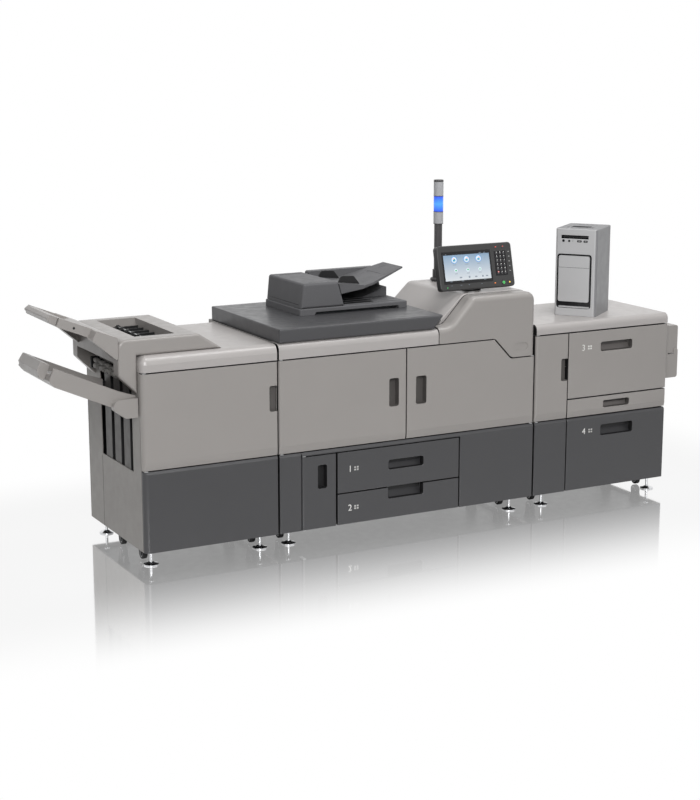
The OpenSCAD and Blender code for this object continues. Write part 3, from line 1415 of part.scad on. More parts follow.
// Flat covers at the sides and the back
inlet = [60, 150, 24, 44];
module side_and_rear_covers() {
  y0 = door_t + seam;
  y1 = main_d - sheet_t - hair;
  color(light_grey) {
    for (x = [main_x0, main_x1 - sheet_t]) along_x(x, x + sheet_t) polygon([[y0, cover_foot_z],
      [y1, cover_foot_z], [y1, strip_top_z - hair], [strip_d + hair, strip_top_z - hair],
      [strip_d + hair, cover_foot - hair], [y0, cover_foot - hair]]);
    difference() {
      block([main_x0, main_d - sheet_t, cover_foot_z], [main_x1, main_d, strip_top_z - hair]);
      block([main_x1 - inlet[0] - inlet[3], main_d - sheet_t / 2, inlet[1]],
            [main_x1 - inlet[0], main_d + cut, inlet[1] + inlet[2]]);
    }
    block([fin_x0, finisher_d - sheet_t, cover_foot_z], [fin_x1, finisher_d, finisher_top_z - finisher_edge_r / 2]);
    block([feed_x1 - sheet_t, y0, cover_foot_z], [feed_x1, feeder_d - sheet_t - hair, feeder_line_z + half_seam - hair]);
    block([feed_x0, feeder_d - sheet_t, cover_foot_z], [feed_x1, feeder_d, feeder_line_z + half_seam - hair]);
  }
}

module door_hinges() {
  waste_pin_x = waste_x[0] + hinge_in;
  color(silver) {
    hinge_bracket(fin_hinge_x, band_z, 1);
    hinge_bracket(fin_hinge_x, door_top_z, -1);
    hinge_bracket(main_x0 + hinge_in, band_z, 1);
    hinge_bracket(main_x0 + hinge_in, door_top_z, -1);
    hinge_bracket(main_x1 - hinge_in, band_z, 1);
    hinge_bracket(main_x1 - hinge_in, cutout_z, -1);
    hinge_bracket(feed_x0 + hinge_in, band_z, 1);
    hinge_bracket(feed_x0 + hinge_in, feeder_line_z, -1);
    hinge_bracket(waste_pin_x, cover_foot_z - half_seam, 1);
    block([waste_pin_x - bracket_w / 2, frame_y - 2 * hair, cover_foot_z - half_seam - bracket_t / 2],
          [waste_pin_x + bracket_w / 2, frame_y + post_d / 2, frame_floor_z - hair]);
    hinge_bracket(waste_pin_x, waste_head + half_seam, -1);
    block([waste_pin_x - bracket_w / 2, frame_y - 2 * hair, waste_head + half_seam - bracket_t / 2],
          [waste_pin_x + bracket_w / 2, frame_y + post_d / 2, shelf_z - hair]);
  }
}

module drawer_runners() {
  walls = [tray_x[0] - half_seam, tray_x[1] + half_seam];
  color(silver) {
    for (box = [box_1, box_2]) runner_pair(tray_x[0], tray_x[1], walls[0], walls[1], box);
    for (box = [box_3, box_t, box_4]) runner_pair(feed_tray_x[0], feed_tray_x[1], feed_wall[0], feed_wall[1], box);
  }
}

// Levelling feet: disc, stud and lock nut
foot_y = 62;
foot_r = 32;
foot_h = 10;
stud_r = 6.5;
nut_r = 13;
nut_h = 8;
nut_sides = 6;
units = [[fin_x0, fin_x1, finisher_d], [main_x0, main_x1, main_d], [feed_x0, feed_x1, feeder_d]];
foot_in = [[47, 63], [68, 87], [87, 43]];
collar_shares = [1.6, 1.4];

function foot_x(k) = [units[k][0] + foot_in[k][0], units[k][1] - foot_in[k][1]];

module levelling_feet() {
  color("#c9ccd0") for (k = [0:2], x = foot_x(k), y = [foot_y, units[k][2] - foot_y]) translate([x, y, 0]) {
    rotate_extrude() polygon([[0, 0], [foot_r - cut, 0], [foot_r, cut], [foot_r, foot_h / 2],
      [foot_r / 2, foot_h], [stud_r * collar_shares[0], foot_h * collar_shares[1]],
      [stud_r, foot_h * collar_shares[1]],
      [stud_r, frame_floor_z - hair], [0, frame_floor_z - hair]]);
    translate([0, 0, frame_floor_z - hair - nut_h]) cylinder(r = nut_r, h = nut_h, $fn = nut_sides);
  }
}

// Casters just behind the feet
caster_y = [150, 390];
wheel_r = 24;
wheel_w = 22;
wheel_z = 27;
fork_t = 4;
fork_r = 12;

module unit_casters(k) {
  for (x = foot_x(k), y = caster_y) {
    for (side = [-1, 1])
      let (xc = x + side * (wheel_w / 2 + 2 * seat_gap + fork_t / 2))
        along_x(xc - fork_t / 2, xc + fork_t / 2) polygon(concat(
          [[y + 2 * fork_r, frame_floor_z - hair - fork_t], [y - 2 * fork_r, frame_floor_z - hair - fork_t]],
          arc([y, wheel_z], fork_r, 180, 360)));
    block([x - wheel_w / 2 - 2 * fork_t, y - 2 * fork_r, frame_floor_z - hair - fork_t - least_r],
          [x + wheel_w / 2 + 2 * fork_t, y + 2 * fork_r, frame_floor_z - hair]);
    translate([x - wheel_w / 2 - fork_t, y, wheel_z]) rotate([0, 90, 0])
      cylinder(r = pin_r, h = wheel_w + 2 * fork_t);
  }
}

module caster_wheels(y) {
  color("#353536") for (k = [0:2], x = foot_x(k)) translate([x - wheel_w / 2, y, wheel_z]) rotate([0, 90, 0]) difference() {
      rotate_extrude() polygon([[0, 0], [wheel_r - cut, 0], [wheel_r, cut], [wheel_r, wheel_w - cut],
        [wheel_r - cut, wheel_w], [0, wheel_w]]);
      translate([0, 0, -cut]) cylinder(r = pin_r + run_gap, h = wheel_w + 2 * cut);
    }
}

module front_caster_wheels() {
  caster_wheels(caster_y[0]);
}

module rear_caster_wheels() {
  caster_wheels(caster_y[1]);
}

// The origin is on the floor, under the middle of the whole line
left_end = min([for (p = lip_outline()) p[0]]);
right_end = feed_x1 + side_feed_w;
module place() {
  translate([-(left_end + right_end) / 2, -main_d / 2, 0]) children();
}

place() finisher_frame();
place() finisher_left_panel();
place() finisher_top_cover();
place() exit_hood();
place() guide_slats();
place() finisher_door();
place() shift_tray();
place() shift_tray_extension();
place() proof_tray();
place() proof_tray_extension();
place() exit_drive_roller();
place() exit_idler_roller();
place() main_frame();
place() top_front_strip();
place() console_cover();
place() console_hump();
place() scanner_table();
place() exposure_glass();
place() inner_panels();
place() toner_and_waste_bottles();
place() imaging_units();
place() fuser_unit();
place() main_left_door();
place() main_right_door();
place() waste_door();
place() paper_tray_1();
place() paper_tray_2();
place() adf_base();
place() adf_feed_cover();
place() adf_feed_roller();
place() original_tray();
place() front_fence();
place() rear_fence();
place() panel_bracket();
place() control_panel();
place() touch_screen();
place() number_keys();
place() start_key();
place() stop_key();
place() status_pole();
place() status_lens();
place() status_lamp();
place() feeder_frame();
place() feeder_top_cover();
place() feeder_door();
place() paper_tray_3();
place() transport_drawer();
place() paper_tray_4();
place() side_feed_housing();
place() side_feed_tray();
place() server_case();
place() server_door();
place() server_power_button();
place() lower_front_panels();
place() side_and_rear_covers();
place() door_hinges();
place() drawer_runners();
place() levelling_feet();
place() front_caster_wheels();
place() rear_caster_wheels();
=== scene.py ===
"""Looks of a digital production printing line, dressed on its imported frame."""
import json
import math

import bmesh
import bpy
from mathutils import Matrix, Vector

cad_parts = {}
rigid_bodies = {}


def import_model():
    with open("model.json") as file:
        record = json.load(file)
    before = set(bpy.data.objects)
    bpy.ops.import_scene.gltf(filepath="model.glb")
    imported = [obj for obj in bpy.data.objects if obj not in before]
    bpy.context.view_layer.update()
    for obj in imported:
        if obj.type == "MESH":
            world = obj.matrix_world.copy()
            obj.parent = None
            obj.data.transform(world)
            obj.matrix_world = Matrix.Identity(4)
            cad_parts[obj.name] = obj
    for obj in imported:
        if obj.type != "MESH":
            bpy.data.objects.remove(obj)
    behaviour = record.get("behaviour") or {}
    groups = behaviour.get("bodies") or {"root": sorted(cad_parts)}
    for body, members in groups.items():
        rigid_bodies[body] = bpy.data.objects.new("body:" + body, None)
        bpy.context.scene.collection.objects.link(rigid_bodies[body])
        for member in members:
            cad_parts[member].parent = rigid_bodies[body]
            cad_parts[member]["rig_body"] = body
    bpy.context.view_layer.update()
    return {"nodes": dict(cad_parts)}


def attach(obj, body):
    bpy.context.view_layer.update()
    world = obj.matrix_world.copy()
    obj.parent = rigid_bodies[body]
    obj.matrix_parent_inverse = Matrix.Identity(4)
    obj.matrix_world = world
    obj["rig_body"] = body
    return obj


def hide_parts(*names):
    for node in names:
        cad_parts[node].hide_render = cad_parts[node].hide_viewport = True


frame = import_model()


def turned(place, degrees, axis):
    """A turn about an axis, then a move to a place."""
    return Matrix.Translation(place) @ Matrix.Rotation(math.radians(degrees), 4, axis)


# The line is measured in millimetres from the seam between finisher and main unit
MIDDLE = Vector((587.903, 370.0, 0.0))
TO_ROW = Matrix.Scale(0.001, 4) @ Matrix.Translation(-MIDDLE)
PANEL = turned((1068, 158, 1083), -14, "X")
SERVER = turned((1695, 59, 880.3), -52, "Z")
LIGHT_COLUMN = (1090, 500)

# Degrees between triangles of one flat face, and between faces that meet in a sharp edge
FLAT_ANGLE = 0.4
DRESSED_ANGLE = 28
PIECE_ANGLE = 35
# Metres between corners that are one
DRESSED_MERGE = 2e-6
PIECE_MERGE = 1e-6
# Millimetres from which a rounding is wide, and the longest edge dropped before it
WIDE_EDGE = 1.2
LONGEST_DROPPED = 0.8


# Finishes

def linear(code):
    """A colour written as in a paint list, made linear for the shader."""
    parts = [int(code[i:i + 2], 16) / 255 for i in (1, 3, 5)]
    return [p / 12.92 if p <= 0.04045 else ((p + 0.055) / 1.055) ** 2.4 for p in parts] + [1.0]


def finish_tree(name):
    """A material with its object coordinates and its main shader at hand."""
    material = bpy.data.materials.new(name)
    material.use_nodes = True
    tree = material.node_tree
    place = tree.nodes.new("ShaderNodeTexCoord").outputs["Object"]
    return material, tree, tree.nodes["Principled BSDF"], place


def speckle(tree, place, size_mm, detail=2.0):
    """Noise whose blobs are about size_mm across."""
    noise = tree.nodes.new("ShaderNodeTexNoise")
    noise.inputs["Scale"].default_value = 1000.0 / size_mm
    noise.inputs["Detail"].default_value = detail
    tree.links.new(place, noise.inputs["Vector"])
    return noise.outputs["Fac"]


def spread(tree, value, start, end, first, second, how="LINEAR"):
    """The value's run from start to end, made a run from the first level to the second."""
    run = tree.nodes.new("ShaderNodeMapRange")
    run.interpolation_type = how
    for name, level in (("From Min", start), ("From Max", end), ("To Min", first), ("To Max", second)):
        run.inputs[name].default_value = level
    tree.links.new(value, run.inputs["Value"])
    return run.outputs["Result"]


def between(tree, noise, low, high):
    """Noise, most of which lies from 0.3 to 0.7, spread from low to high."""
    return spread(tree, noise, 0.3, 0.7, low, high)


def sums(tree, how, first, second=0):
    """One sum of two values or of a value and a number."""
    node = tree.nodes.new("ShaderNodeMath")
    node.operation = how
    for socket, value in zip(node.inputs, (first, second)):
        if isinstance(value, (int, float)):
            socket.default_value = value
        else:
            tree.links.new(value, socket)
    return node.outputs[0]


def apart(tree, place):
    """The three coordinates of a place."""
    node = tree.nodes.new("ShaderNodeSeparateXYZ")
    tree.links.new(place, node.inputs[0])
    return node.outputs


def two_tones(tree, value, first, second):
    """A colour between two tones, driven by a value."""
    mix = tree.nodes.new("ShaderNodeMix")
    mix.data_type = "RGBA"
    mix.inputs[6].default_value = first
    mix.inputs[7].default_value = second
    tree.links.new(value, mix.inputs[0])
    return mix.outputs[2]


def pebble(tree, shader, height, strength, depth_mm):
    """Bump on the main shader."""
    bump = tree.nodes.new("ShaderNodeBump")
    bump.inputs["Strength"].default_value = strength
    bump.inputs["Distance"].default_value = depth_mm / 1000
    tree.links.new(height, bump.inputs["Height"])
    tree.links.new(bump.outputs["Normal"], shader.inputs["Normal"])


def uneven(tree, shader, place, size_mm, low, high):
    """Gloss whose roughness wanders from low to high."""
    tree.links.new(between(tree, speckle(tree, place, size_mm), low, high), shader.inputs["Roughness"])


def aglow(tree, shader, tone, strength):
    """Gives the main shader a colour and a light of the same colour."""
    tree.links.new(tone, shader.inputs["Base Color"])
    tree.links.new(tone, shader.inputs["Emission Color"])
    shader.inputs["Emission Strength"].default_value = strength


CLOUD_MM = 260
CLOUD_SHARE = 0.6
SKIN_DEPTH_MM = 0.12


def covered(name, code, gloss, grain_mm=1.1, grain=0.3, cloud=0.04, metallic=0.0, shine=0.32):
    """Moulded or painted cover: slow clouds of tone, fine speckle, a pebbled skin and uneven gloss."""
    material, tree, shader, place = finish_tree(name)
    base = linear(code)
    dark = [c * (1 - cloud) for c in base[:3]] + [1.0]
    light = [min(1.0, c * (1 + cloud)) for c in base[:3]] + [1.0]
    slow = between(tree, speckle(tree, place, CLOUD_MM), 0.0, 1.0)
    fine = between(tree, speckle(tree, place, grain_mm * 1.4), 0.25, 0.75)
    share = sums(tree, "ADD", sums(tree, "MULTIPLY", slow, CLOUD_SHARE),
                 sums(tree, "MULTIPLY", fine, 1 - CLOUD_SHARE))
    tree.links.new(two_tones(tree, share, dark, light), shader.inputs["Base Color"])
    uneven(tree, shader, place, 40, gloss - 0.05, gloss + 0.06)
    pebble(tree, shader, speckle(tree, place, grain_mm, 1.0), grain, SKIN_DEPTH_MM)
    shader.inputs["Metallic"].default_value = metallic
    shader.inputs["Specular IOR Level"].default_value = shine
    return material


def lit(name, code, strength, gloss=0.25):
    """A lamp, lens or screen area that glows a little."""
    material, tree, shader, place = finish_tree(name)
    base = linear(code)
    pale = [min(1.0, c * 1.12 + 0.01) for c in base[:3]] + [1.0]
    tone = two_tones(tree, between(tree, speckle(tree, place, 14), 0.0, 1.0), base, pale)
    aglow(tree, shader, tone, strength)
    shader.inputs["Roughness"].default_value = gloss
    return material


def see_through(name, code, gloss, share):
    """Clear or tinted glass: partly see-through, with faint flow marks."""
    material, tree, shader, place = finish_tree(name)
    base = linear(code)
    deep = [c * 0.86 for c in base[:3]] + [1.0]
    tone = two_tones(tree, between(tree, speckle(tree, place, 9), 0.0, 1.0), deep, base)
    tree.links.new(tone, shader.inputs["Base Color"])
    shader.inputs["Roughness"].default_value = gloss
    shader.inputs["Alpha"].default_value = 1 - share
    return material


def shaded(name, low_z, high_z, first, second, strength, gloss, folded=False):
    """A lit face whose colour runs from one height to another; folded, it runs out from the middle."""
    material, tree, shader, place = finish_tree(name)
    height, start, end = apart(tree, place)["Z"], low_z / 1000, high_z / 1000
    if folded:
        height = sums(tree, "ABSOLUTE", sums(tree, "SUBTRACT", height, (start + end) / 2))
        start, end = 0.0, (end - start) / 2
    run = spread(tree, height, start, end, 0.0, 1.0)
    aglow(tree, shader, two_tones(tree, run, linear(first), linear(second)), strength)
    uneven(tree, shader, place, 30, gloss - 0.03, gloss + 0.04)
    shader.inputs["Coat Weight"].default_value = 0.3
    pebble(tree, shader, speckle(tree, place, 3), 0.03, 0.02)
    return material


light_cover = covered("light_cover", "#999592", 0.33, grain=0.06, cloud=0.02, shine=0.5)
# Top covers: a lighter copy of the light cover paint, painted light for tops that catch more light
pale_cover = covered("pale_cover", "#aeaaa8", 0.33, grain=0.06, cloud=0.02, shine=0.55)
# Side and rear covers: a rougher finish of their own, and a tone darker than the fronts that is painted shade
side_cover_and_shade = covered("side_cover_and_shade", "#918e8b", 0.44, cloud=0.03)
dark_cover = covered("dark_cover", "#3f3f41", 0.33, grain=0.08, cloud=0.03, shine=0.5)
slate_cover = covered("slate_cover", "#4b4b4d", 0.33, grain=0.08, cloud=0.02, shine=0.3)
slat_grey = covered("slat_grey", "#4a4847", 0.42, cloud=0.03)
# Handle pockets: walls and grips darker than the covers, painted shade in the recess; grips lighter than the
# walls where more light falls
pocket_shade_grey = covered("pocket_shade_grey", "#575452", 0.44, cloud=0.03)
pocket_floor_shade = covered("pocket_floor_shade", "#6b6765", 0.4, cloud=0.03)
pole_grey = covered("pole_grey", "#4c4b4c", 0.4, grain_mm=0.7, cloud=0.08)
# Server's right side: a darker copy of the silver paint, painted shade
silver_side_shade = covered("silver_side_shade", "#8a8a8c", 0.4, grain_mm=0.8, grain=0.03, cloud=0.02, metallic=0.1)
# Grips in the pockets of dark drawers: painted shade, darker than the dark cover
pocket_dark_shade = covered("pocket_dark_shade", "#333335", 0.44, cloud=0.03)
feeder_grey = covered("feeder_grey", "#666668", 0.42, grain=0.08, cloud=0.02, shine=0.05)
deep_black = covered("deep_black", "#1d1d1e", 0.5, cloud=0.15)
frame_black = covered("frame_black", "#29292b", 0.42, grain_mm=2.5, grain=0.15, cloud=0.12)
panel_black = covered("panel_black", "#3c3c3c", 0.4, grain_mm=0.7, cloud=0.08)
bezel_black = covered("bezel_black", "#18181a", 0.22, grain_mm=2.0, grain=0.04, cloud=0.1)
silver_paint = covered("silver_paint", "#bbbbbc", 0.4, grain_mm=0.8, grain=0.03, cloud=0.02, metallic=0.1)
# Server's top: a darker copy of the silver paint, painted shade against the strong top light
silver_top_shade = covered("silver_top_shade", "#7a7a7c", 0.42, grain_mm=0.8, grain=0.03, cloud=0.02, metallic=0.1)
silver_trim = covered("silver_trim", "#bcbcbd", 0.34, grain_mm=0.8, grain=0.03, cloud=0.02, metallic=0.12)
zinc = covered("zinc", "#b3b4b4", 0.36, grain_mm=6.0, grain=0.06, cloud=0.1, metallic=0.9)
chrome = covered("chrome", "#d9dadc", 0.14, grain_mm=12.0, grain=0.03, cloud=0.05, metallic=1.0)
rubber = covered("rubber", "#303031", 0.72, grain_mm=1.6, grain=0.35, cloud=0.12)
key_dark = covered("key_dark", "#4a4a4c", 0.34, grain_mm=0.5, grain=0.1, cloud=0.08)
roller_grey = covered("roller_grey", "#8d8b88", 0.55, grain_mm=0.8, grain=0.25)
mark_white = covered("mark_white", "#e4e3e0", 0.5, grain_mm=0.6, grain=0.05)
mark_dark = covered("mark_dark", "#454546", 0.5, grain_mm=0.6, grain=0.05)
mark_light = covered("mark_light", "#b9b8b6", 0.5, grain_mm=0.6, grain=0.05)
lever_blue = covered("lever_blue", "#3a6296", 0.4)
toner_yellow = covered("toner_yellow", "#c9a21d", 0.38)
toner_red = covered("toner_red", "#b03a78", 0.38)
toner_cyan = covered("toner_cyan", "#2a7fa8", 0.38)
bottle_cream = covered("bottle_cream", "#d0cbbd", 0.4)
led_orange = lit("led_orange", "#f08028", 1.2)
led_green = lit("led_green", "#40d060", 1.0)
led_red = lit("led_red", "#d8503f", 0.6)
led_pink = lit("led_pink", "#d98a86", 0.4)
led_yellow = lit("led_yellow", "#e3c13a", 0.6)
lens_clear = covered("lens_clear", "#b3b4b7", 0.3, grain_mm=3.0, grain=0.05, cloud=0.02)
platen = see_through("platen", "#7c9296", 0.06, 0.25)
screen_back = shaded("screen_back", 1093, 1219, "#c3c8cc", "#6f8ba4", 0.3, 0.2)
lens_blue = shaded("lens_blue", 1372, 1442, "#3f8df5", "#1c47c8", 0.75, 0.2, True)
icon_blue = lit("icon_blue", "#3f86c8", 0.35)
icon_teal = lit("icon_teal", "#3f8fae", 0.35)
icon_green = lit("icon_green", "#3f9c6a", 0.35)
icon_grey = lit("icon_grey", "#76818c", 0.25)
icon_white = lit("icon_white", "#c4d0d8", 0.3)


# Shapes

def block(shape, low, high):
    """A plain block from its low to its high corner; gives its vertices."""
    low, high = Vector(low), Vector(high)
    made = bmesh.ops.create_cube(shape, size=1.0)["verts"]
    bmesh.ops.scale(shape, vec=high - low, verts=made)
    bmesh.ops.translate(shape, vec=(low + high) / 2, verts=made)
    return made


def edges_of(verts):
    """The edges that end in some vertices."""
    return {e for v in verts for e in v.link_edges}


def rounded(shape, edges, radius, steps=2):
    """Rounds edges in a few steps; gives the new faces."""
    return bmesh.ops.bevel(shape, geom=list(edges), offset=radius, segments=steps, profile=0.5,
                           affect="EDGES", material=-1)["faces"]


def slab(shape, low, high, edge):
    """A block from its low to its high corner, its edges rounded."""
    rounded(shape, edges_of(block(shape, low, high)), edge)


def plate(shape, low, high, corner, edge=0.0, along=1, steps=5):
    """A plate whose four corners are rounded in its own plane; along is the axis square to it."""
    made = block(shape, low, high)
    upright = [e for e in edges_of(made) if abs((e.verts[0].co - e.verts[1].co).normalized()[along]) > 0.9]
    corners = rounded(shape, upright, corner, steps)
    if edge:
        faces = {f for v in made if v.is_valid for f in v.link_faces} | set(corners)
        rounded(shape, {e for f in faces if f.is_valid and len(f.verts) > 4 for e in f.edges}, edge)


def bar(shape, start, end, radius, sides=24, edge=0.0):
    """A round bar between two points."""
    start, end = Vector(start), Vector(end)
    way = end - start
    place = Matrix.Translation((start + end) / 2) @ way.to_track_quat("Z", "Y").to_matrix().to_4x4()
    made = bmesh.ops.create_cone(shape, cap_ends=True, cap_tris=False, segments=sides, radius1=radius,
                                 radius2=radius, depth=way.length, matrix=place)["verts"]
    if edge:
        rounded(shape, [e for e in edges_of(made) if any(len(f.verts) > 4 for f in e.link_faces)], edge)


def lathe(shape, steps, centre, sides=32):
    """A turned body about an upright axis, from pairs of radius and height."""
    cx, cy = centre
    verts = [shape.verts.new((cx + r, cy, z)) for r, z in steps]
    edges = [shape.edges.new(pair) for pair in zip(verts, verts[1:])]
    bmesh.ops.spin(shape, geom=verts + edges, cent=(cx, cy, 0), axis=(0, 0, 1), angle=math.tau,
                   steps=sides, use_merge=True)


def shown(name, shape, finishes, sharp):
    """The shape as an object with its finishes, smooth but for edges over the sharp angle."""
    for face in shape.faces:
        face.smooth = True
    mesh = bpy.data.meshes.new(name)
    shape.to_mesh(mesh)
    shape.free()
    mesh.set_sharp_from_angle(angle=math.radians(sharp))
    for finish in finishes:
        mesh.materials.append(finish)
    made = bpy.data.objects.new(name, mesh)
    bpy.context.scene.collection.objects.link(made)
    return made


def piece(name, shape, material, body, place=None):
    """Turns a shape in line millimetres into a finished object that rides on its body."""
    if place is not None:
        bmesh.ops.transform(shape, matrix=place, verts=shape.verts)
    bmesh.ops.transform(shape, matrix=TO_ROW, verts=shape.verts)
    bmesh.ops.remove_doubles(shape, verts=shape.verts, dist=PIECE_MERGE)
    bmesh.ops.recalc_face_normals(shape, faces=shape.faces)
    made = shown(name, shape, [material], PIECE_ANGLE)
    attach(made, body)


def built(name, material, body, build, place=None):
    """A piece whose shape a function fills."""
    shape = bmesh.new()
    build(shape)
    piece(name, shape, material, body, place)


def soften(target, edge):
    """Rounds the sharp edges of a dressed piece, and keeps its flat faces flat to the light."""
    mod = target.modifiers.new("soft_edges", "BEVEL")
    mod.width = edge / 1000
    mod.segments = 2
    mod.limit_method = "ANGLE"
    mod.angle_limit = math.radians(DRESSED_ANGLE)
    mod.harden_normals = True
    mod.use_clamp_overlap = True
    flat = target.modifiers.new("flat_faces", "WEIGHTED_NORMAL")
    flat.keep_sharp = True


def dress(node, material, edge=1.2, paint=()):
    """A copy of a node's own shape with clean faces, soft edges and its finishes, some of them painted shade.

    paint is a list of (material, test), where test takes a face's middle and normal in line millimetres.
    Before a wide rounding, edges under half its width go, as they would narrow it.
    """
    source = frame["nodes"][node]
    shape = bmesh.new()
    shape.from_mesh(source.data)
    bmesh.ops.remove_doubles(shape, verts=shape.verts, dist=DRESSED_MERGE)
    bmesh.ops.dissolve_limit(shape, angle_limit=math.radians(FLAT_ANGLE), verts=shape.verts,
                             edges=shape.edges)
    if edge >= WIDE_EDGE:
        bmesh.ops.dissolve_degenerate(shape, dist=min(edge / 2, LONGEST_DROPPED) / 1000, edges=shape.edges)
    for face in shape.faces:
        face.material_index = 0
        centre = face.calc_center_median() * 1000 + MIDDLE
        for slot, (_, test) in enumerate(paint, 1):
            if test(centre, face.normal):
                face.material_index = slot
    made = shown(node + "_dressed", shape, [material] + [finish for finish, _ in paint], DRESSED_ANGLE)
    if edge:
        soften(made, edge)
    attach(made, source["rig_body"])
    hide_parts(node)


def repaint(node, material):
    """A node that keeps its own mesh and gets its real finish."""
    target = frame["nodes"][node]
    target.data.materials.clear()
    target.data.materials.append(material)


# Covers, doors and drawers

# The back of the door and drawer fronts, the line's outer ends, and the face that the number keys stand on
FRONT_BACK = 36
LINE_ENDS = (-615, 2078)
KEY_PLATE = -47


def behind_front(centre, normal):
    """Faces of a drawer that lie behind its front."""
    return centre.y > FRONT_BACK


def sides(centre, normal):
    """The side faces of a door or drawer front, painted black as the shade in the seams."""
    return 3 < centre.y < 27 and abs(normal.y) < 0.05 and LINE_ENDS[0] < centre.x < LINE_ENDS[1]


def inside(x0, x1, z0, z1):
    """A test for the walls of a handle pocket or notch."""
    return lambda c, n: x0 - 1 < c.x < x1 + 1 and z0 - 1 < c.z < z1 + 1 and 2 < c.y < FRONT_BACK


# Handle pockets and notches: x from and to, z from and to
POCKETS = {"finisher_door": (-42, 0, 617, 729), "feeder_door": (1460, 1510, 604, 710),
           "main_left_door": (544, 593, 578, 705), "main_right_door": (681, 735, 576, 703),
           "paper_tray_3": (1691, 1874, 727, 771), "transport_drawer": (1713, 1866, 453, 488),
           "waste_door": (188, 233, 247, 354), "paper_tray_1": (543, 723, 291, 335),
           "paper_tray_2": (541, 723, 157, 220), "paper_tray_4": (1703, 1891, 318, 370)}
# Pocket and notch walls are painted darker (black on dark fronts), and seam sides black: both painted shade
for name, pocket in POCKETS.items():
    dark = name in ("waste_door", "paper_tray_1", "paper_tray_2", "paper_tray_4")
    dress(name, dark_cover if dark else light_cover, 2.4,
          [(deep_black, sides), (deep_black if dark else pocket_shade_grey, inside(*pocket))]
          + ([] if "door" in name else [(frame_black, behind_front)]))
# The lower panels' seam sides are painted black: painted shade
dress("lower_front_panels", dark_cover, 2.6, [(deep_black, sides)])
# End faces that meet the next unit are painted black: painted shade in the gap between units
dress("finisher_top_cover", pale_cover, 1.6, [(deep_black, lambda c, n: n.x > 0.9)])
dress("top_front_strip", pale_cover, 1.6, [(deep_black, lambda c, n: abs(n.x) > 0.9)])
dress("console_cover", light_cover, 2.4, [(deep_black, lambda c, n: n.x < -0.9 and c.x < 802)])
dress("console_hump", pale_cover, 3.0)
dress("feeder_top_cover", pale_cover, 2.4, [(deep_black, lambda c, n: n.x < -0.9)])
dress("side_feed_housing", light_cover, 1.2)
dress("side_feed_tray", light_cover, 1.2)
dress("side_and_rear_covers", side_cover_and_shade, 1.0)
dress("finisher_left_panel", side_cover_and_shade, 1.0, [(deep_black, lambda c, n: c.x < -623)])
dress("exit_hood", light_cover, 3.0,
      [(deep_black, lambda c, n: -612 < c.x < -425 and 90 < c.y < 560 and 905 < c.z < 930 and n.z > 0.5)])
# Faces high and low on the node and the slats' side faces are painted black: painted shade between the slats
dress("guide_slats", slat_grey, 1.0,
      [(deep_black, lambda c, n: c.z > 905 or c.z < 392.1 or abs(n.y) > 0.5),
       (zinc, lambda c, n: c.z < 900 and c.x > -583)])
dress("shift_tray", light_cover, 2.2, [(frame_black, lambda c, n: c.x > -624)])
dress("shift_tray_extension", light_cover, 1.6)
dress("proof_tray", light_cover, 1.8)
dress("proof_tray_extension", light_cover, 1.6)
dress("scanner_table", slate_cover, 2.6)
# The band from x 400 to 434 and the high downward faces are painted black: painted shade
dress("adf_base", feeder_grey, 1.6,
      [(deep_black, lambda c, n: 400 < c.x < 434 and 999 < c.z < 1096 or n.z < -0.9 and c.z > 1040)])
dress("adf_feed_cover", feeder_grey, 2.4)
# Its downward faces are painted black: painted shade under the tray
dress("original_tray", feeder_grey, 1.2, [(deep_black, lambda c, n: n.z < -0.6)])
dress("front_fence", deep_black, 0.8)
dress("rear_fence", deep_black, 0.8)
dress("control_panel", panel_black, 1.6)
dress("number_keys", key_dark, 0.5,
      [(bezel_black, lambda c, n: abs((PANEL.inverted() @ c).y - KEY_PLATE) < 1.6)])
dress("start_key", key_dark, 0.6)
dress("stop_key", key_dark, 0.6)
dress("touch_screen", screen_back, 0)
dress("status_pole", pole_grey, 0.8)
dress("status_lens", lens_clear, 0)
dress("status_lamp", lens_blue, 0)
dress("panel_bracket", deep_black, 0.8)


def in_server_hollow(centre, normal):
    """True for the walls of the server's recess, slot, button seat and display dish."""
    p = SERVER.inverted() @ centre
    n = SERVER.to_3x3().inverted() @ normal
    in_dish = -151 < p.x < -59 and 59 < p.y < 121 and 409 < p.z < 413.7
    in_front = -194 < p.x < -24 and 0.4 < p.y < 21 and 35 < p.z < 384
    in_seat = abs(p.x + 165) < 7 and abs(p.z - 356) < 7
    is_wall = abs(n.z) > 0.5 or n.x * (p.x + 109) < -20 or (n.y < -0.5 and p.y > 8)
    return in_dish or in_front and (in_seat or is_wall)


# The server's top and right side take darker copies of its silver paint: painted shade
dress("server_case", silver_paint, 1.6, [
    (bezel_black, in_server_hollow),
    (silver_top_shade, lambda c, n: n.z > 0.9 and c.z > 1290),
    (silver_side_shade, lambda c, n: (SERVER.to_3x3().inverted() @ n).x > 0.5 and not in_server_hollow(c, n))])
dress("server_door", silver_trim, 0.8)
dress("server_power_button", bezel_black, 0.5)
dress("levelling_feet", chrome, 0)
dress("front_caster_wheels", rubber, 1.2)
dress("rear_caster_wheels", rubber, 1.2)
dress("exit_drive_roller", roller_grey, 0.8)
dress("exit_idler_roller", roller_grey, 0.8)
dress("adf_feed_roller", rubber, 0.8)
dress("toner_and_waste_bottles", deep_black, 1.0,
      [(toner_yellow, lambda c, n: 755 < c.x < 849 and c.z > 700),
       (toner_red, lambda c, n: 853 < c.x < 947 and c.z > 700),
       (toner_cyan, lambda c, n: 951 < c.x < 1050 and c.z > 700),
       (bottle_cream, lambda c, n: c.z < 400)])
dress("imaging_units", panel_black, 1.2)
dress("fuser_unit", panel_black, 1.2)
dress("inner_panels", frame_black, 0.8, [(lever_blue, lambda c, n: c.x < 0 and c.y < 149)])
repaint("exposure_glass", platen)
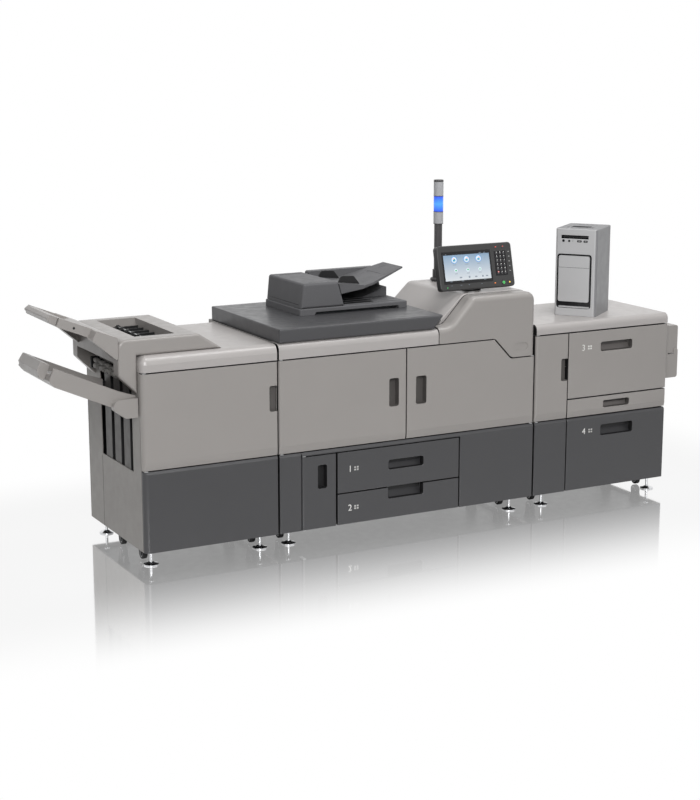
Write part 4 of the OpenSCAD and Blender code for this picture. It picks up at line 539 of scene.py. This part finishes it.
for name in ("finisher_frame", "main_frame", "feeder_frame"):
    repaint(name, frame_black)
for name in ("door_hinges", "drawer_runners"):
    repaint(name, zinc)


# Marks: plain tray numbers, and two small sheet signs beside each

PRINT_DEPTH = 0.3
# Digit, word, the digit's x from and to and z from and to, the signs' corner and finish
TRAY_MARKS = (("1", "one", (340, 356, 305, 333), (368, 309), mark_light),
              ("2", "two", (337, 357, 128, 156), (368, 132), mark_light),
              ("3", "three", (1579, 1602, 738, 767), (1616, 742), mark_white),
              ("4", "four", (1593, 1617, 335, 363), (1632, 339), mark_light))


def number(name, digit, x0, x1, z0, z1, body):
    """A plain printed digit on a drawer's front, fitted to its place."""
    curve = bpy.data.curves.new(name, "FONT")
    curve.body = digit
    flat = bpy.data.objects.new(name + "_flat", curve)
    bpy.context.scene.collection.objects.link(flat)
    bpy.context.view_layer.update()
    mesh = bpy.data.meshes.new_from_object(flat.evaluated_get(bpy.context.evaluated_depsgraph_get()))
    bpy.data.objects.remove(flat)
    shape = bmesh.new()
    shape.from_mesh(mesh)
    left, right = (way(v.co.x for v in shape.verts) for way in (min, max))
    low, high = (way(v.co.y for v in shape.verts) for way in (min, max))
    tall = (z1 - z0) / (high - low)
    wide = min(x1 - x0, (right - left) * tall) / (right - left)
    for v in shape.verts:
        v.co = Vector(((x0 + x1) / 2 + (v.co.x - (left + right) / 2) * wide, -PRINT_DEPTH / 2,
                       z0 + (v.co.y - low) * tall))
    grown = bmesh.ops.extrude_face_region(shape, geom=shape.faces[:])["geom"]
    back = [g for g in grown if isinstance(g, bmesh.types.BMVert)]
    bmesh.ops.translate(shape, vec=(0, PRINT_DEPTH, 0), verts=back)
    piece(name, shape, mark_white, body)


def sheet_signs(shape, x, z):
    """Two rows of two small sheets."""
    for dx in (0, 13):
        for dz in (0, 11):
            plate(shape, (x + dx, -0.2, z + dz), (x + dx + 9, 0.15, z + dz + 7.5), 1.2, steps=2)


for digit, word, box, corner, finish in TRAY_MARKS:
    number("tray_number_" + word, digit, *box, "tray_" + digit)
for digit, word, box, corner, finish in TRAY_MARKS:
    built("tray_signs_" + word, finish, "tray_" + digit, lambda s: sheet_signs(s, *corner))


# Operation panel

PANEL_FACE = PANEL @ Matrix.Translation((-200, -49, -40))
KEY_FACE = -2.4
ROUND_KEY_FACE = -1.9
SIDE_KEY_FACE = -1.6
BARE_FACE = 0.1
BIG_ICONS = ((86, 138), (152, 138), (216, 138))
SMALL_ICONS = ((90, 90), (154, 90), (218, 90))
KEY_COLUMNS = (315, 334, 353)
KEY_ROWS = (69.9, 87.9, 106, 124, 142.1, 160.1)
STOP_MARK_KEY = (315, 69.9)
SIDE_KEY_X = 380
SIDE_KEY_ROWS = (160, 138, 116, 94, 72)


def on_panel(name, material, build, body="operation_panel"):
    """A piece on the operation panel's face: x from its left edge, z from its foot, minus y out of it."""
    built(name, material, body, build, PANEL_FACE)


def bezel(shape):
    """Gloss frame round the screen, with a step."""
    for low, high in (((22, -1.2, 30), (283, 0.3, 38)), ((22, -1.2, 168), (283, 0.3, 176)),
                      ((22, -1.2, 38), (30, 0.3, 168)), ((275, -1.2, 38), (283, 0.3, 168))):
        slab(shape, low, high, 0.5)


def round_icons(shape, places, radius, out):
    """Round touch areas, a little proud of the screen."""
    for x, z in places:
        bar(shape, (x, 0.1, z), (x, -out, z), radius, 28, 0.15)


def bars(shape, places, front, back=0.1):
    """Oblong areas between two depths: centre x, centre z, width, height."""
    for x, z, w, h in places:
        plate(shape, (x - w / 2, front, z - h / 2), (x + w / 2, back, z + h / 2), min(w, h) * 0.3, steps=3)


def marks(shape, places, face):
    """Printed marks on a key or on the panel's own face."""
    bars(shape, places, face - 0.25, face + 0.2)


def key_ring(shape, x, z, inner, outer, face):
    """A flat ring lying on a key's face."""
    lathe(shape, [(inner, 0), (outer, 0), (outer, 0.4), (inner, 0.4)], (0, 0), 24)
    bmesh.ops.transform(shape, matrix=turned((x, face, z), 90, "X"), verts=shape.verts)


on_panel("screen_bezel", bezel_black, bezel)
on_panel("screen_icon_rings", icon_blue, lambda s: round_icons(s, BIG_ICONS, 16, 0.3))
on_panel("screen_icons", icon_white,
         lambda s: [round_icons(s, BIG_ICONS, 13.6, 0.6), round_icons(s, SMALL_ICONS, 8.5, 0.3)])
on_panel("screen_icon_marks_blue", icon_teal,
         lambda s: bars(s, [(x, z - 2, 12, 9) for x, z in BIG_ICONS], -0.9))
on_panel("screen_icon_marks_red", led_pink,
         lambda s: bars(s, [(x + k, z + 6, 7, 4) for k, (x, z) in zip((-2, 3, 4), BIG_ICONS)], -0.9))
on_panel("screen_icon_marks_green", icon_green,
         lambda s: bars(s, [(90, 90, 8, 7), (154, 91, 9, 6), (218, 90, 4, 9), (88, 142, 6, 4)], -0.9))
on_panel("screen_marks", icon_grey, lambda s: bars(s, [
    (90, 75, 16, 2), (154, 75, 16, 2), (218, 75, 16, 2), (86, 116, 18, 2.2), (152, 116, 18, 2.2),
    (216, 116, 18, 2.2), (112, 57, 13, 6), (158, 57, 9, 9), (194, 57, 13, 5), (230, 57, 8, 8),
    (252, 57, 12, 5)], -0.4))
on_panel("screen_head_bar", bezel_black,
         lambda s: bars(s, [(152.5, 164.5, 245, 7), (152.5, 41, 245, 6)], -0.45))
on_panel("screen_head_marks", icon_grey, lambda s: bars(s, [
    (44, 164.5, 6, 2.4), (226, 164.5, 10, 2.4), (250, 164.5, 8, 2.4), (60, 41, 12, 2), (120, 41, 12, 2),
    (240, 41, 12, 2)], -0.7))
on_panel("number_key_marks", mark_white, lambda s: marks(s, [
    (x, z, 3.2, 4.4) for x in KEY_COLUMNS for z in KEY_ROWS if (x, z) != STOP_MARK_KEY], KEY_FACE),
         "number_keys")
on_panel("number_key_stop_mark", led_pink,
         lambda s: marks(s, [(*STOP_MARK_KEY, 6.5, 6.5)], KEY_FACE), "number_keys")
on_panel("start_key_ring", led_green, lambda s: key_ring(s, 338, 20, 4.2, 6.0, ROUND_KEY_FACE), "start_key")
on_panel("stop_key_mark", led_yellow, lambda s: marks(s, [(370, 20, 6.5, 6.5)], ROUND_KEY_FACE), "stop_key")
on_panel("side_keys", key_dark, lambda s: [
    plate(s, (x - 5, SIDE_KEY_FACE, z - 5), (x + 5, 0.3, z + 5), 2.5, 0.3)
    for x, z in [(315, 184), (353, 184)] + [(SIDE_KEY_X, z) for z in SIDE_KEY_ROWS]])
on_panel("side_key_marks", mark_white,
         lambda s: marks(s, [(SIDE_KEY_X, z, 5, 2) for z in SIDE_KEY_ROWS], SIDE_KEY_FACE))
on_panel("panel_lamps_red", led_red,
         lambda s: marks(s, [(315, 186, 6, 2.4), (353, 186, 6, 2.4), (312, 182, 2.4, 2.4)], SIDE_KEY_FACE))
on_panel("panel_lamp_orange", led_orange, lambda s: marks(s, [(292, 20, 7, 2.6)], BARE_FACE))
on_panel("panel_lamp_green", led_green, lambda s: bar(s, (36, 0.4, 14), (36, -1.4, 14), 1.8, 16, 0.5))
on_panel("panel_lamp_marks", icon_grey, lambda s: marks(s, [
    (152, 22, 5, 3), (60, 22, 8, 1.6), (110, 22, 8, 1.6), (220, 22, 8, 1.6)], BARE_FACE))


# Status light

def light_rings(shape):
    """Dark joint rings of the status light, and its base knob."""
    for z in (1314, 1370, 1444, 1512):
        lathe(shape, [(20, z - 1.2), (23.4, z - 1.2), (23.4, z + 1.2), (20, z + 1.2)], LIGHT_COLUMN)
    lathe(shape, [(0.01, 1044), (34, 1044), (36, 1046), (36, 1052), (33, 1056), (25, 1058)], LIGHT_COLUMN)


built("status_light_rings", pole_grey, "line", light_rings)


# Document feeder

ORIGINAL_TRAY = turned((586.9, 0, 1072.6), -13, "Y")


def feeder_slits(shape):
    """Slits on the feed cover's top and the one along its left side."""
    slab(shape, (300, 300, 1109.6), (372, 304, 1110.9), 0.2)
    slab(shape, (392, 300, 1109.6), (418, 304, 1110.9), 0.2)
    slab(shape, (300, 590, 1109.6), (418, 593, 1110.9), 0.2)
    slab(shape, (249.4, 300, 1013), (252, 600, 1015.6), 0.3)


built("feed_cover_slits", deep_black, "feed_cover", feeder_slits)
built("original_tray_ribs", feeder_grey, "original_tray", lambda s: [
    slab(s, (19, y, 4.5), (min(235, 26 + (y - 306) * 2.22), y + 3, 5.8), 0.4) for y in (372, 520)],
      ORIGINAL_TRAY)
built("output_ribs", feeder_grey, "document_feeder", lambda s: [
    slab(s, (480, y, 997.5), (770, y + 4, 1000.2), 0.8) for y in (300, 350, 400, 450)])
# A dark sheet in the output tray: painted shade under the original tray
built("output_shade_sheet", deep_black, "document_feeder",
      lambda s: plate(s, (478, 304, 998.4), (640, 584, 999.0), 6, along=2))


# Seams: dark lines of painted shade in the gaps between covers

def seam_shade_line(name, node, y, wide, proud):
    """A narrow dark line round a cover's rim, where it meets the next cover: painted shade in the gap."""
    shape = bmesh.new()
    shape.from_mesh(frame["nodes"][node].data)
    bmesh.ops.remove_doubles(shape, verts=shape.verts, dist=DRESSED_MERGE)
    for place, way in ((y - wide, -1), (y, 1)):
        bmesh.ops.bisect_plane(shape, geom=shape.verts[:] + shape.edges[:] + shape.faces[:], dist=1e-6,
                               plane_co=(0, (place - MIDDLE.y) / 1000, 0), plane_no=(0, way, 0),
                               clear_outer=True)
        bmesh.ops.holes_fill(shape, edges=[e for e in shape.edges if e.is_boundary])
    bmesh.ops.recalc_face_normals(shape, faces=shape.faces)
    for v in shape.verts:
        v.co += v.normal * proud / 1000
    bmesh.ops.transform(shape, matrix=TO_ROW.inverted(), verts=shape.verts)
    piece(name, shape, deep_black, "line")


seam_shade_line("console_rear_seam_shade", "console_cover", 79.9, 5, 0.5)


# Trays and rollers of the finisher

SHIFT_FLOOR = turned((-626, 0, 650), 24, "Y") @ Matrix.Translation((0, 0, 35.7))
PROOF = turned((-703.3, 0, 987), 22, "Y")
PROOF_FLOOR = PROOF @ Matrix.Translation((0, 0, -12.3))
HOOD_ROLLERS = ((-590, 948), (-520, 944))


def tray_ribs(shape, places, start, end, width=5, high=2.4):
    """Low ribs along a tray's floor."""
    for y in places:
        slab(shape, (-end, y, 0), (-start, y + width, high), high * 0.35)


built("shift_tray_ribs", light_cover, "shift_tray",
      lambda s: tray_ribs(s, (110, 170, 230, 290, 350, 400), 20, 392), SHIFT_FLOOR)
built("proof_tray_ribs", light_cover, "line",
      lambda s: tray_ribs(s, (150, 200, 250, 300, 345, 450), 98, 212), PROOF_FLOOR)
# A dark plate in the tray's recess and a dark disc on its wall: painted shade of an opening and of a hole
built("proof_tray_slot_shade", deep_black, "line", lambda s: [
    plate(s, (-212, 356, -12.3), (-96, 436, -11.4), 8, 0.2, 2),
    bar(s, (-168, 99.6, -20), (-168, 101.5, -20), 5.5, 20, 0.2)], PROOF)
built("hood_rollers", deep_black, "line", lambda s: [
    bar(s, (x, y, z), (x, y + 16, z), 9, 20, 0.8) for y in (135, 200, 265, 330, 395, 460, 515)
    for x, z in HOOD_ROLLERS])
built("hood_roller_shafts", zinc, "line", lambda s: [
    bar(s, (x, 98.5, z), (x, 549.5, z), 3.5, 16) for x, z in HOOD_ROLLERS])
# A dark strip on the side panel: painted shade in the gap
built("finisher_side_seam_shade", deep_black, "line",
      lambda s: slab(s, (-621.35, 488.5, 70), (-620.6, 490.8, 391), 0.1))


# Handle grips, vents and screws

def grip(shape, pocket):
    """The sloped finger plate in the lower part of a drawer's handle pocket."""
    x0, x1, z0, z1 = pocket
    slab(shape, (x0 + 4, 0, 0), (x1 - 4, 2.5, (z1 - z0) * 0.62), 0.8)
    bmesh.ops.transform(shape, matrix=turned((0, 20, z0 + 1), -22, "X"), verts=shape.verts)


# The grips' darker tones are painted shade in the pocket
for name, body in (("paper_tray_1", "tray_1"), ("paper_tray_2", "tray_2"), ("paper_tray_3", "tray_3"),
                   ("paper_tray_4", "tray_4"), ("transport_drawer", "transport_drawer")):
    built(name + "_grip", pocket_floor_shade if name in ("paper_tray_3", "transport_drawer") else pocket_dark_shade, body,
          lambda s: grip(s, POCKETS[name]))

VENT_PITCH = 11
VENT_HIGH = 4.5
# Unit, its rear cover's y, and rows of slots: x from and to, lowest z, count
VENTS = (("main", 740, ((200, 380, 300, 14), (200, 380, 560, 10), (880, 1120, 320, 16))),
         ("finisher", 660, ((-480, -300, 300, 10), )),
         ("feeder", 520, ((1560, 1780, 300, 10), )))
# Places of the rear covers' screws: x, the cover's y, z
SCREWS = (((24, 340, 660, 980, 1296), 740, (90, 470, 880)),
          ((-600, -310, -24), 660, (90, 470, 860)),
          ((1344, 1700, 2063), 520, (90, 470, 810)))


def louvres(shape, y, rows):
    """Rows of cooling slots in a rear cover."""
    for x0, x1, z0, count in rows:
        for z in (z0 + i * VENT_PITCH for i in range(count)):
            slab(shape, (x0, y - 0.3, z), (x1, y + 0.8, z + VENT_HIGH), 0.4)


for unit, y, rows in VENTS:
    built("rear_vents_" + unit, deep_black, "line", lambda s: louvres(s, y, rows))
built("rear_cover_screws", zinc, "line", lambda s: [
    bar(s, (x, y - 1, z), (x, y + 1.6, z), 4.2, 16, 0.6) for xs, y, zs in SCREWS for x in xs for z in zs])
built("rear_top_sheet", pale_cover, "line", lambda s: [
    slab(s, (784, 577, 904.8), (1315, 739, 906.6), 0.6), slab(s, (5, 724, 904.8), (782, 739, 906.6), 0.6)])


# Print server

def on_server(name, material, build, body="line"):
    """A piece on the server: x to the right from its front right corner, y to the back, z from its foot."""
    built(name, material, body, build, SERVER)


on_server("server_ports", bezel_black, lambda s: [
    bar(s, (-137, -0.4, 356), (-137, 1.5, 356), 5.6, 20, 0.2),
    bar(s, (-119, -0.4, 356), (-119, 1.5, 356), 1.6, 12, 0.2),
    plate(s, (-98, -0.4, 351), (-76, 1.5, 361), 2.5),
    plate(s, (-67, -0.4, 351), (-47, 1.5, 361), 2.5)])
on_server("server_port_tongues", silver_trim, lambda s: [
    slab(s, (-93, -0.7, 355), (-81, 0.5, 357), 0.2), slab(s, (-62, -0.7, 355), (-52, 0.5, 357), 0.2)])
on_server("server_drive_lip", deep_black, lambda s: slab(s, (-173, 5, 373.6), (-45, 18, 376.4), 0.5))
on_server("server_vent_shelf", silver_paint, lambda s: plate(s, (-184, 6.5, 37), (-34, 10.9, 45), 2))
# A dark strip across the door: painted shade in the seam
on_server("server_door_seam_shade", mark_dark, lambda s: slab(s, (-185.5, 0.5, 229), (-35.5, 1.0, 230.6), 0.2),
          "server_door")
on_server("server_door_plate", silver_paint, lambda s: plate(s, (-133, 0.2, 100), (-88, 1.0, 142), 4, 0.2),
          "server_door")
on_server("server_foot_band", bezel_black, lambda s: plate(s, (-202, 2, 0), (-2, 236, 4), 14, along=2))
on_server("server_top_slits", bezel_black, lambda s: [
    slab(s, (-168, 62, 413.4), (-160, 118, 414.3), 0.2), slab(s, (-50, 62, 413.4), (-42, 118, 414.3), 0.2),
    slab(s, (-150, 196, 413.4), (-54, 199, 414.3), 0.2)])
on_server("server_display", mark_dark, lambda s: plate(s, (-132, 70, 409.8), (-78, 110, 411.4), 3, 0.3, 2))


# Casters

for end, y in (("front", 150), ("rear", 390)):
    built(end + "_caster_hubs", zinc, end + "_casters", lambda s: [
        bar(s, (x + side * 10.6, y, 27), (x + side * 11.4, y, 27), 15, 24, 0.2)
        for x in (-574, -67, 72, 1229, 1411, 2040) for side in (-1, 1)])


# Floor, light and camera

# Half the line's footprint, in metres, and what the floor does away from it
HALF_LENGTH = 1.6
HALF_DEPTH = 0.37
MIRROR_REACH = 1.05
MIRROR_SHARE = 0.66
WHITE_REACH = 1.0
WHITE_SHARE = 0.74
# The floor's tone darkens from the far tones to the near one over this reach: painted shade near the line,
# which also dims the light the floor throws back
SHADE_REACH = 2.5
NEAR_SHADE_TONE = (0.22, 0.22, 0.22, 1)
FAR_TONES = ((0.5, 0.5, 0.5, 1), (0.52, 0.52, 0.52, 1))
WORLD_LEVEL = 0.18
# Name, place, aim and size in metres, watts, and whether gloss shows the lamp
SOFTBOXES = (("key_softbox", (-4.6, -9.0, 5.2), (0, 0, 0.6), (4.2, 3.4), 665, True),
             ("top_softbox", (1.3, -1.5, 5.8), (0.2, 0, 0.8), (5.0, 1.6), 180, True),
             ("rear_softbox", (2.6, 8.8, 4.8), (0, 0, 0.6), (4.0, 3.0), 260, False))
CAMERA_PLACE = (-3121.64, -6452.4, 2214.63)
CAMERA_YAW = 28.26
CAMERA_PITCH = 12.21
CAMERA_LENS = 77.207


def faded(tree, away, reach, near, far):
    """A smooth run from the near level to the far one, over a reach from the line."""
    return spread(tree, away, 0.0, reach, near, far, "SMOOTHSTEP")


def blended(tree, share, first, second):
    """Two shaders blended by a share."""
    mix = tree.nodes.new("ShaderNodeMixShader")
    tree.links.new(share, mix.inputs["Fac"])
    tree.links.new(first, mix.inputs[1])
    tree.links.new(second, mix.inputs[2])
    return mix.outputs["Shader"]


def floor():
    """Plain pale floor, mirror-like close to the line, that runs to white away from it; its tone darkens near
    the line as painted shade.
    """
    shape = bmesh.new()
    bmesh.ops.create_grid(shape, x_segments=1, y_segments=1, size=60)
    mesh = bpy.data.meshes.new("studio_floor")
    shape.to_mesh(mesh)
    shape.free()
    material, tree, shader, place = finish_tree("studio_floor")
    shader.inputs["Roughness"].default_value = 0.9
    shader.inputs["Specular IOR Level"].default_value = 0.0
    polish = tree.nodes.new("ShaderNodeBsdfPrincipled")
    polish.inputs["Metallic"].default_value = 1.0
    polish.inputs["Base Color"].default_value = (1, 1, 1, 1)
    uneven(tree, polish, place, 500, 0.05, 0.07)
    glow = tree.nodes.new("ShaderNodeEmission")
    across = apart(tree, place)
    away = sums(tree, "MAXIMUM", sums(tree, "SUBTRACT", sums(tree, "ABSOLUTE", across["X"]), HALF_LENGTH),
                sums(tree, "SUBTRACT", sums(tree, "ABSOLUTE", across["Y"]), HALF_DEPTH))
    far = two_tones(tree, speckle(tree, place, 400), *FAR_TONES)
    # Painted shade: the floor's tone darkens towards the line
    tone = two_tones(tree, faded(tree, away, SHADE_REACH, 0.0, 1.0), NEAR_SHADE_TONE, FAR_TONES[0])
    tree.links.new(far, tone.node.inputs[7])
    tree.links.new(tone, shader.inputs["Base Color"])
    path = tree.nodes.new("ShaderNodeLightPath")
    seen = sums(tree, "MAXIMUM", path.outputs["Is Camera Ray"], path.outputs["Is Glossy Ray"])
    white = sums(tree, "MULTIPLY", faded(tree, away, WHITE_REACH, WHITE_SHARE, 1.0), seen)
    mirror = faded(tree, away, MIRROR_REACH, MIRROR_SHARE, 0.0)
    surface = blended(tree, white, shader.outputs["BSDF"], glow.outputs["Emission"])
    surface = blended(tree, mirror, surface, polish.outputs["BSDF"])
    tree.links.new(surface, tree.nodes["Material Output"].inputs["Surface"])
    mesh.materials.append(material)
    made = bpy.data.objects.new("studio_floor", mesh)
    bpy.context.scene.collection.objects.link(made)


def studio_world(level):
    """Even light from all round; white where the camera, gloss or glass sees it."""
    world = bpy.data.worlds.new("studio")
    bpy.context.scene.world = world
    world.use_nodes = True
    tree = world.node_tree
    soft = tree.nodes["Background"]
    soft.inputs["Color"].default_value = (1, 1, 1, 1)
    soft.inputs["Strength"].default_value = level
    white = tree.nodes.new("ShaderNodeBackground")
    white.inputs["Color"].default_value = (1, 1, 1, 1)
    path = tree.nodes.new("ShaderNodeLightPath")
    seen = sums(tree, "MAXIMUM", path.outputs["Is Camera Ray"], path.outputs["Is Transmission Ray"])
    seen = sums(tree, "MAXIMUM", seen, path.outputs["Is Glossy Ray"])
    tree.links.new(blended(tree, seen, soft.outputs["Background"], white.outputs["Background"]),
                   tree.nodes["World Output"].inputs["Surface"])


def softbox(name, place, aim, size, watts, mirrored):
    """A large soft lamp that looks at a point; gloss shows it only if it is mirrored."""
    lamp = bpy.data.lights.new(name, "AREA")
    lamp.shape = "RECTANGLE"
    lamp.size, lamp.size_y = size
    lamp.energy = watts
    made = bpy.data.objects.new(name, lamp)
    made.location = place
    made.rotation_euler = (Vector(aim) - Vector(place)).to_track_quat("-Z", "Y").to_euler()
    made.visible_glossy = mirrored
    bpy.context.scene.collection.objects.link(made)


def photo_camera():
    """The camera that stands where the photograph was taken."""
    camera = bpy.data.cameras.new("photo_camera")
    camera.lens = CAMERA_LENS
    camera.sensor_width = 36.0
    camera.clip_end = 200.0
    made = bpy.data.objects.new("photo_camera", camera)
    bpy.context.scene.collection.objects.link(made)
    yaw, pitch = math.radians(CAMERA_YAW), math.radians(CAMERA_PITCH)
    forward = Vector((math.sin(yaw) * math.cos(pitch), math.cos(yaw) * math.cos(pitch), -math.sin(pitch)))
    made.location = (Vector(CAMERA_PLACE) - MIDDLE) / 1000
    made.rotation_euler = forward.to_track_quat("-Z", "Y").to_euler()
    bpy.context.scene.camera = made


floor()
studio_world(WORLD_LEVEL)
for lamp in SOFTBOXES:
    softbox(*lamp)
photo_camera()
bpy.context.scene.view_settings.view_transform = "Standard"
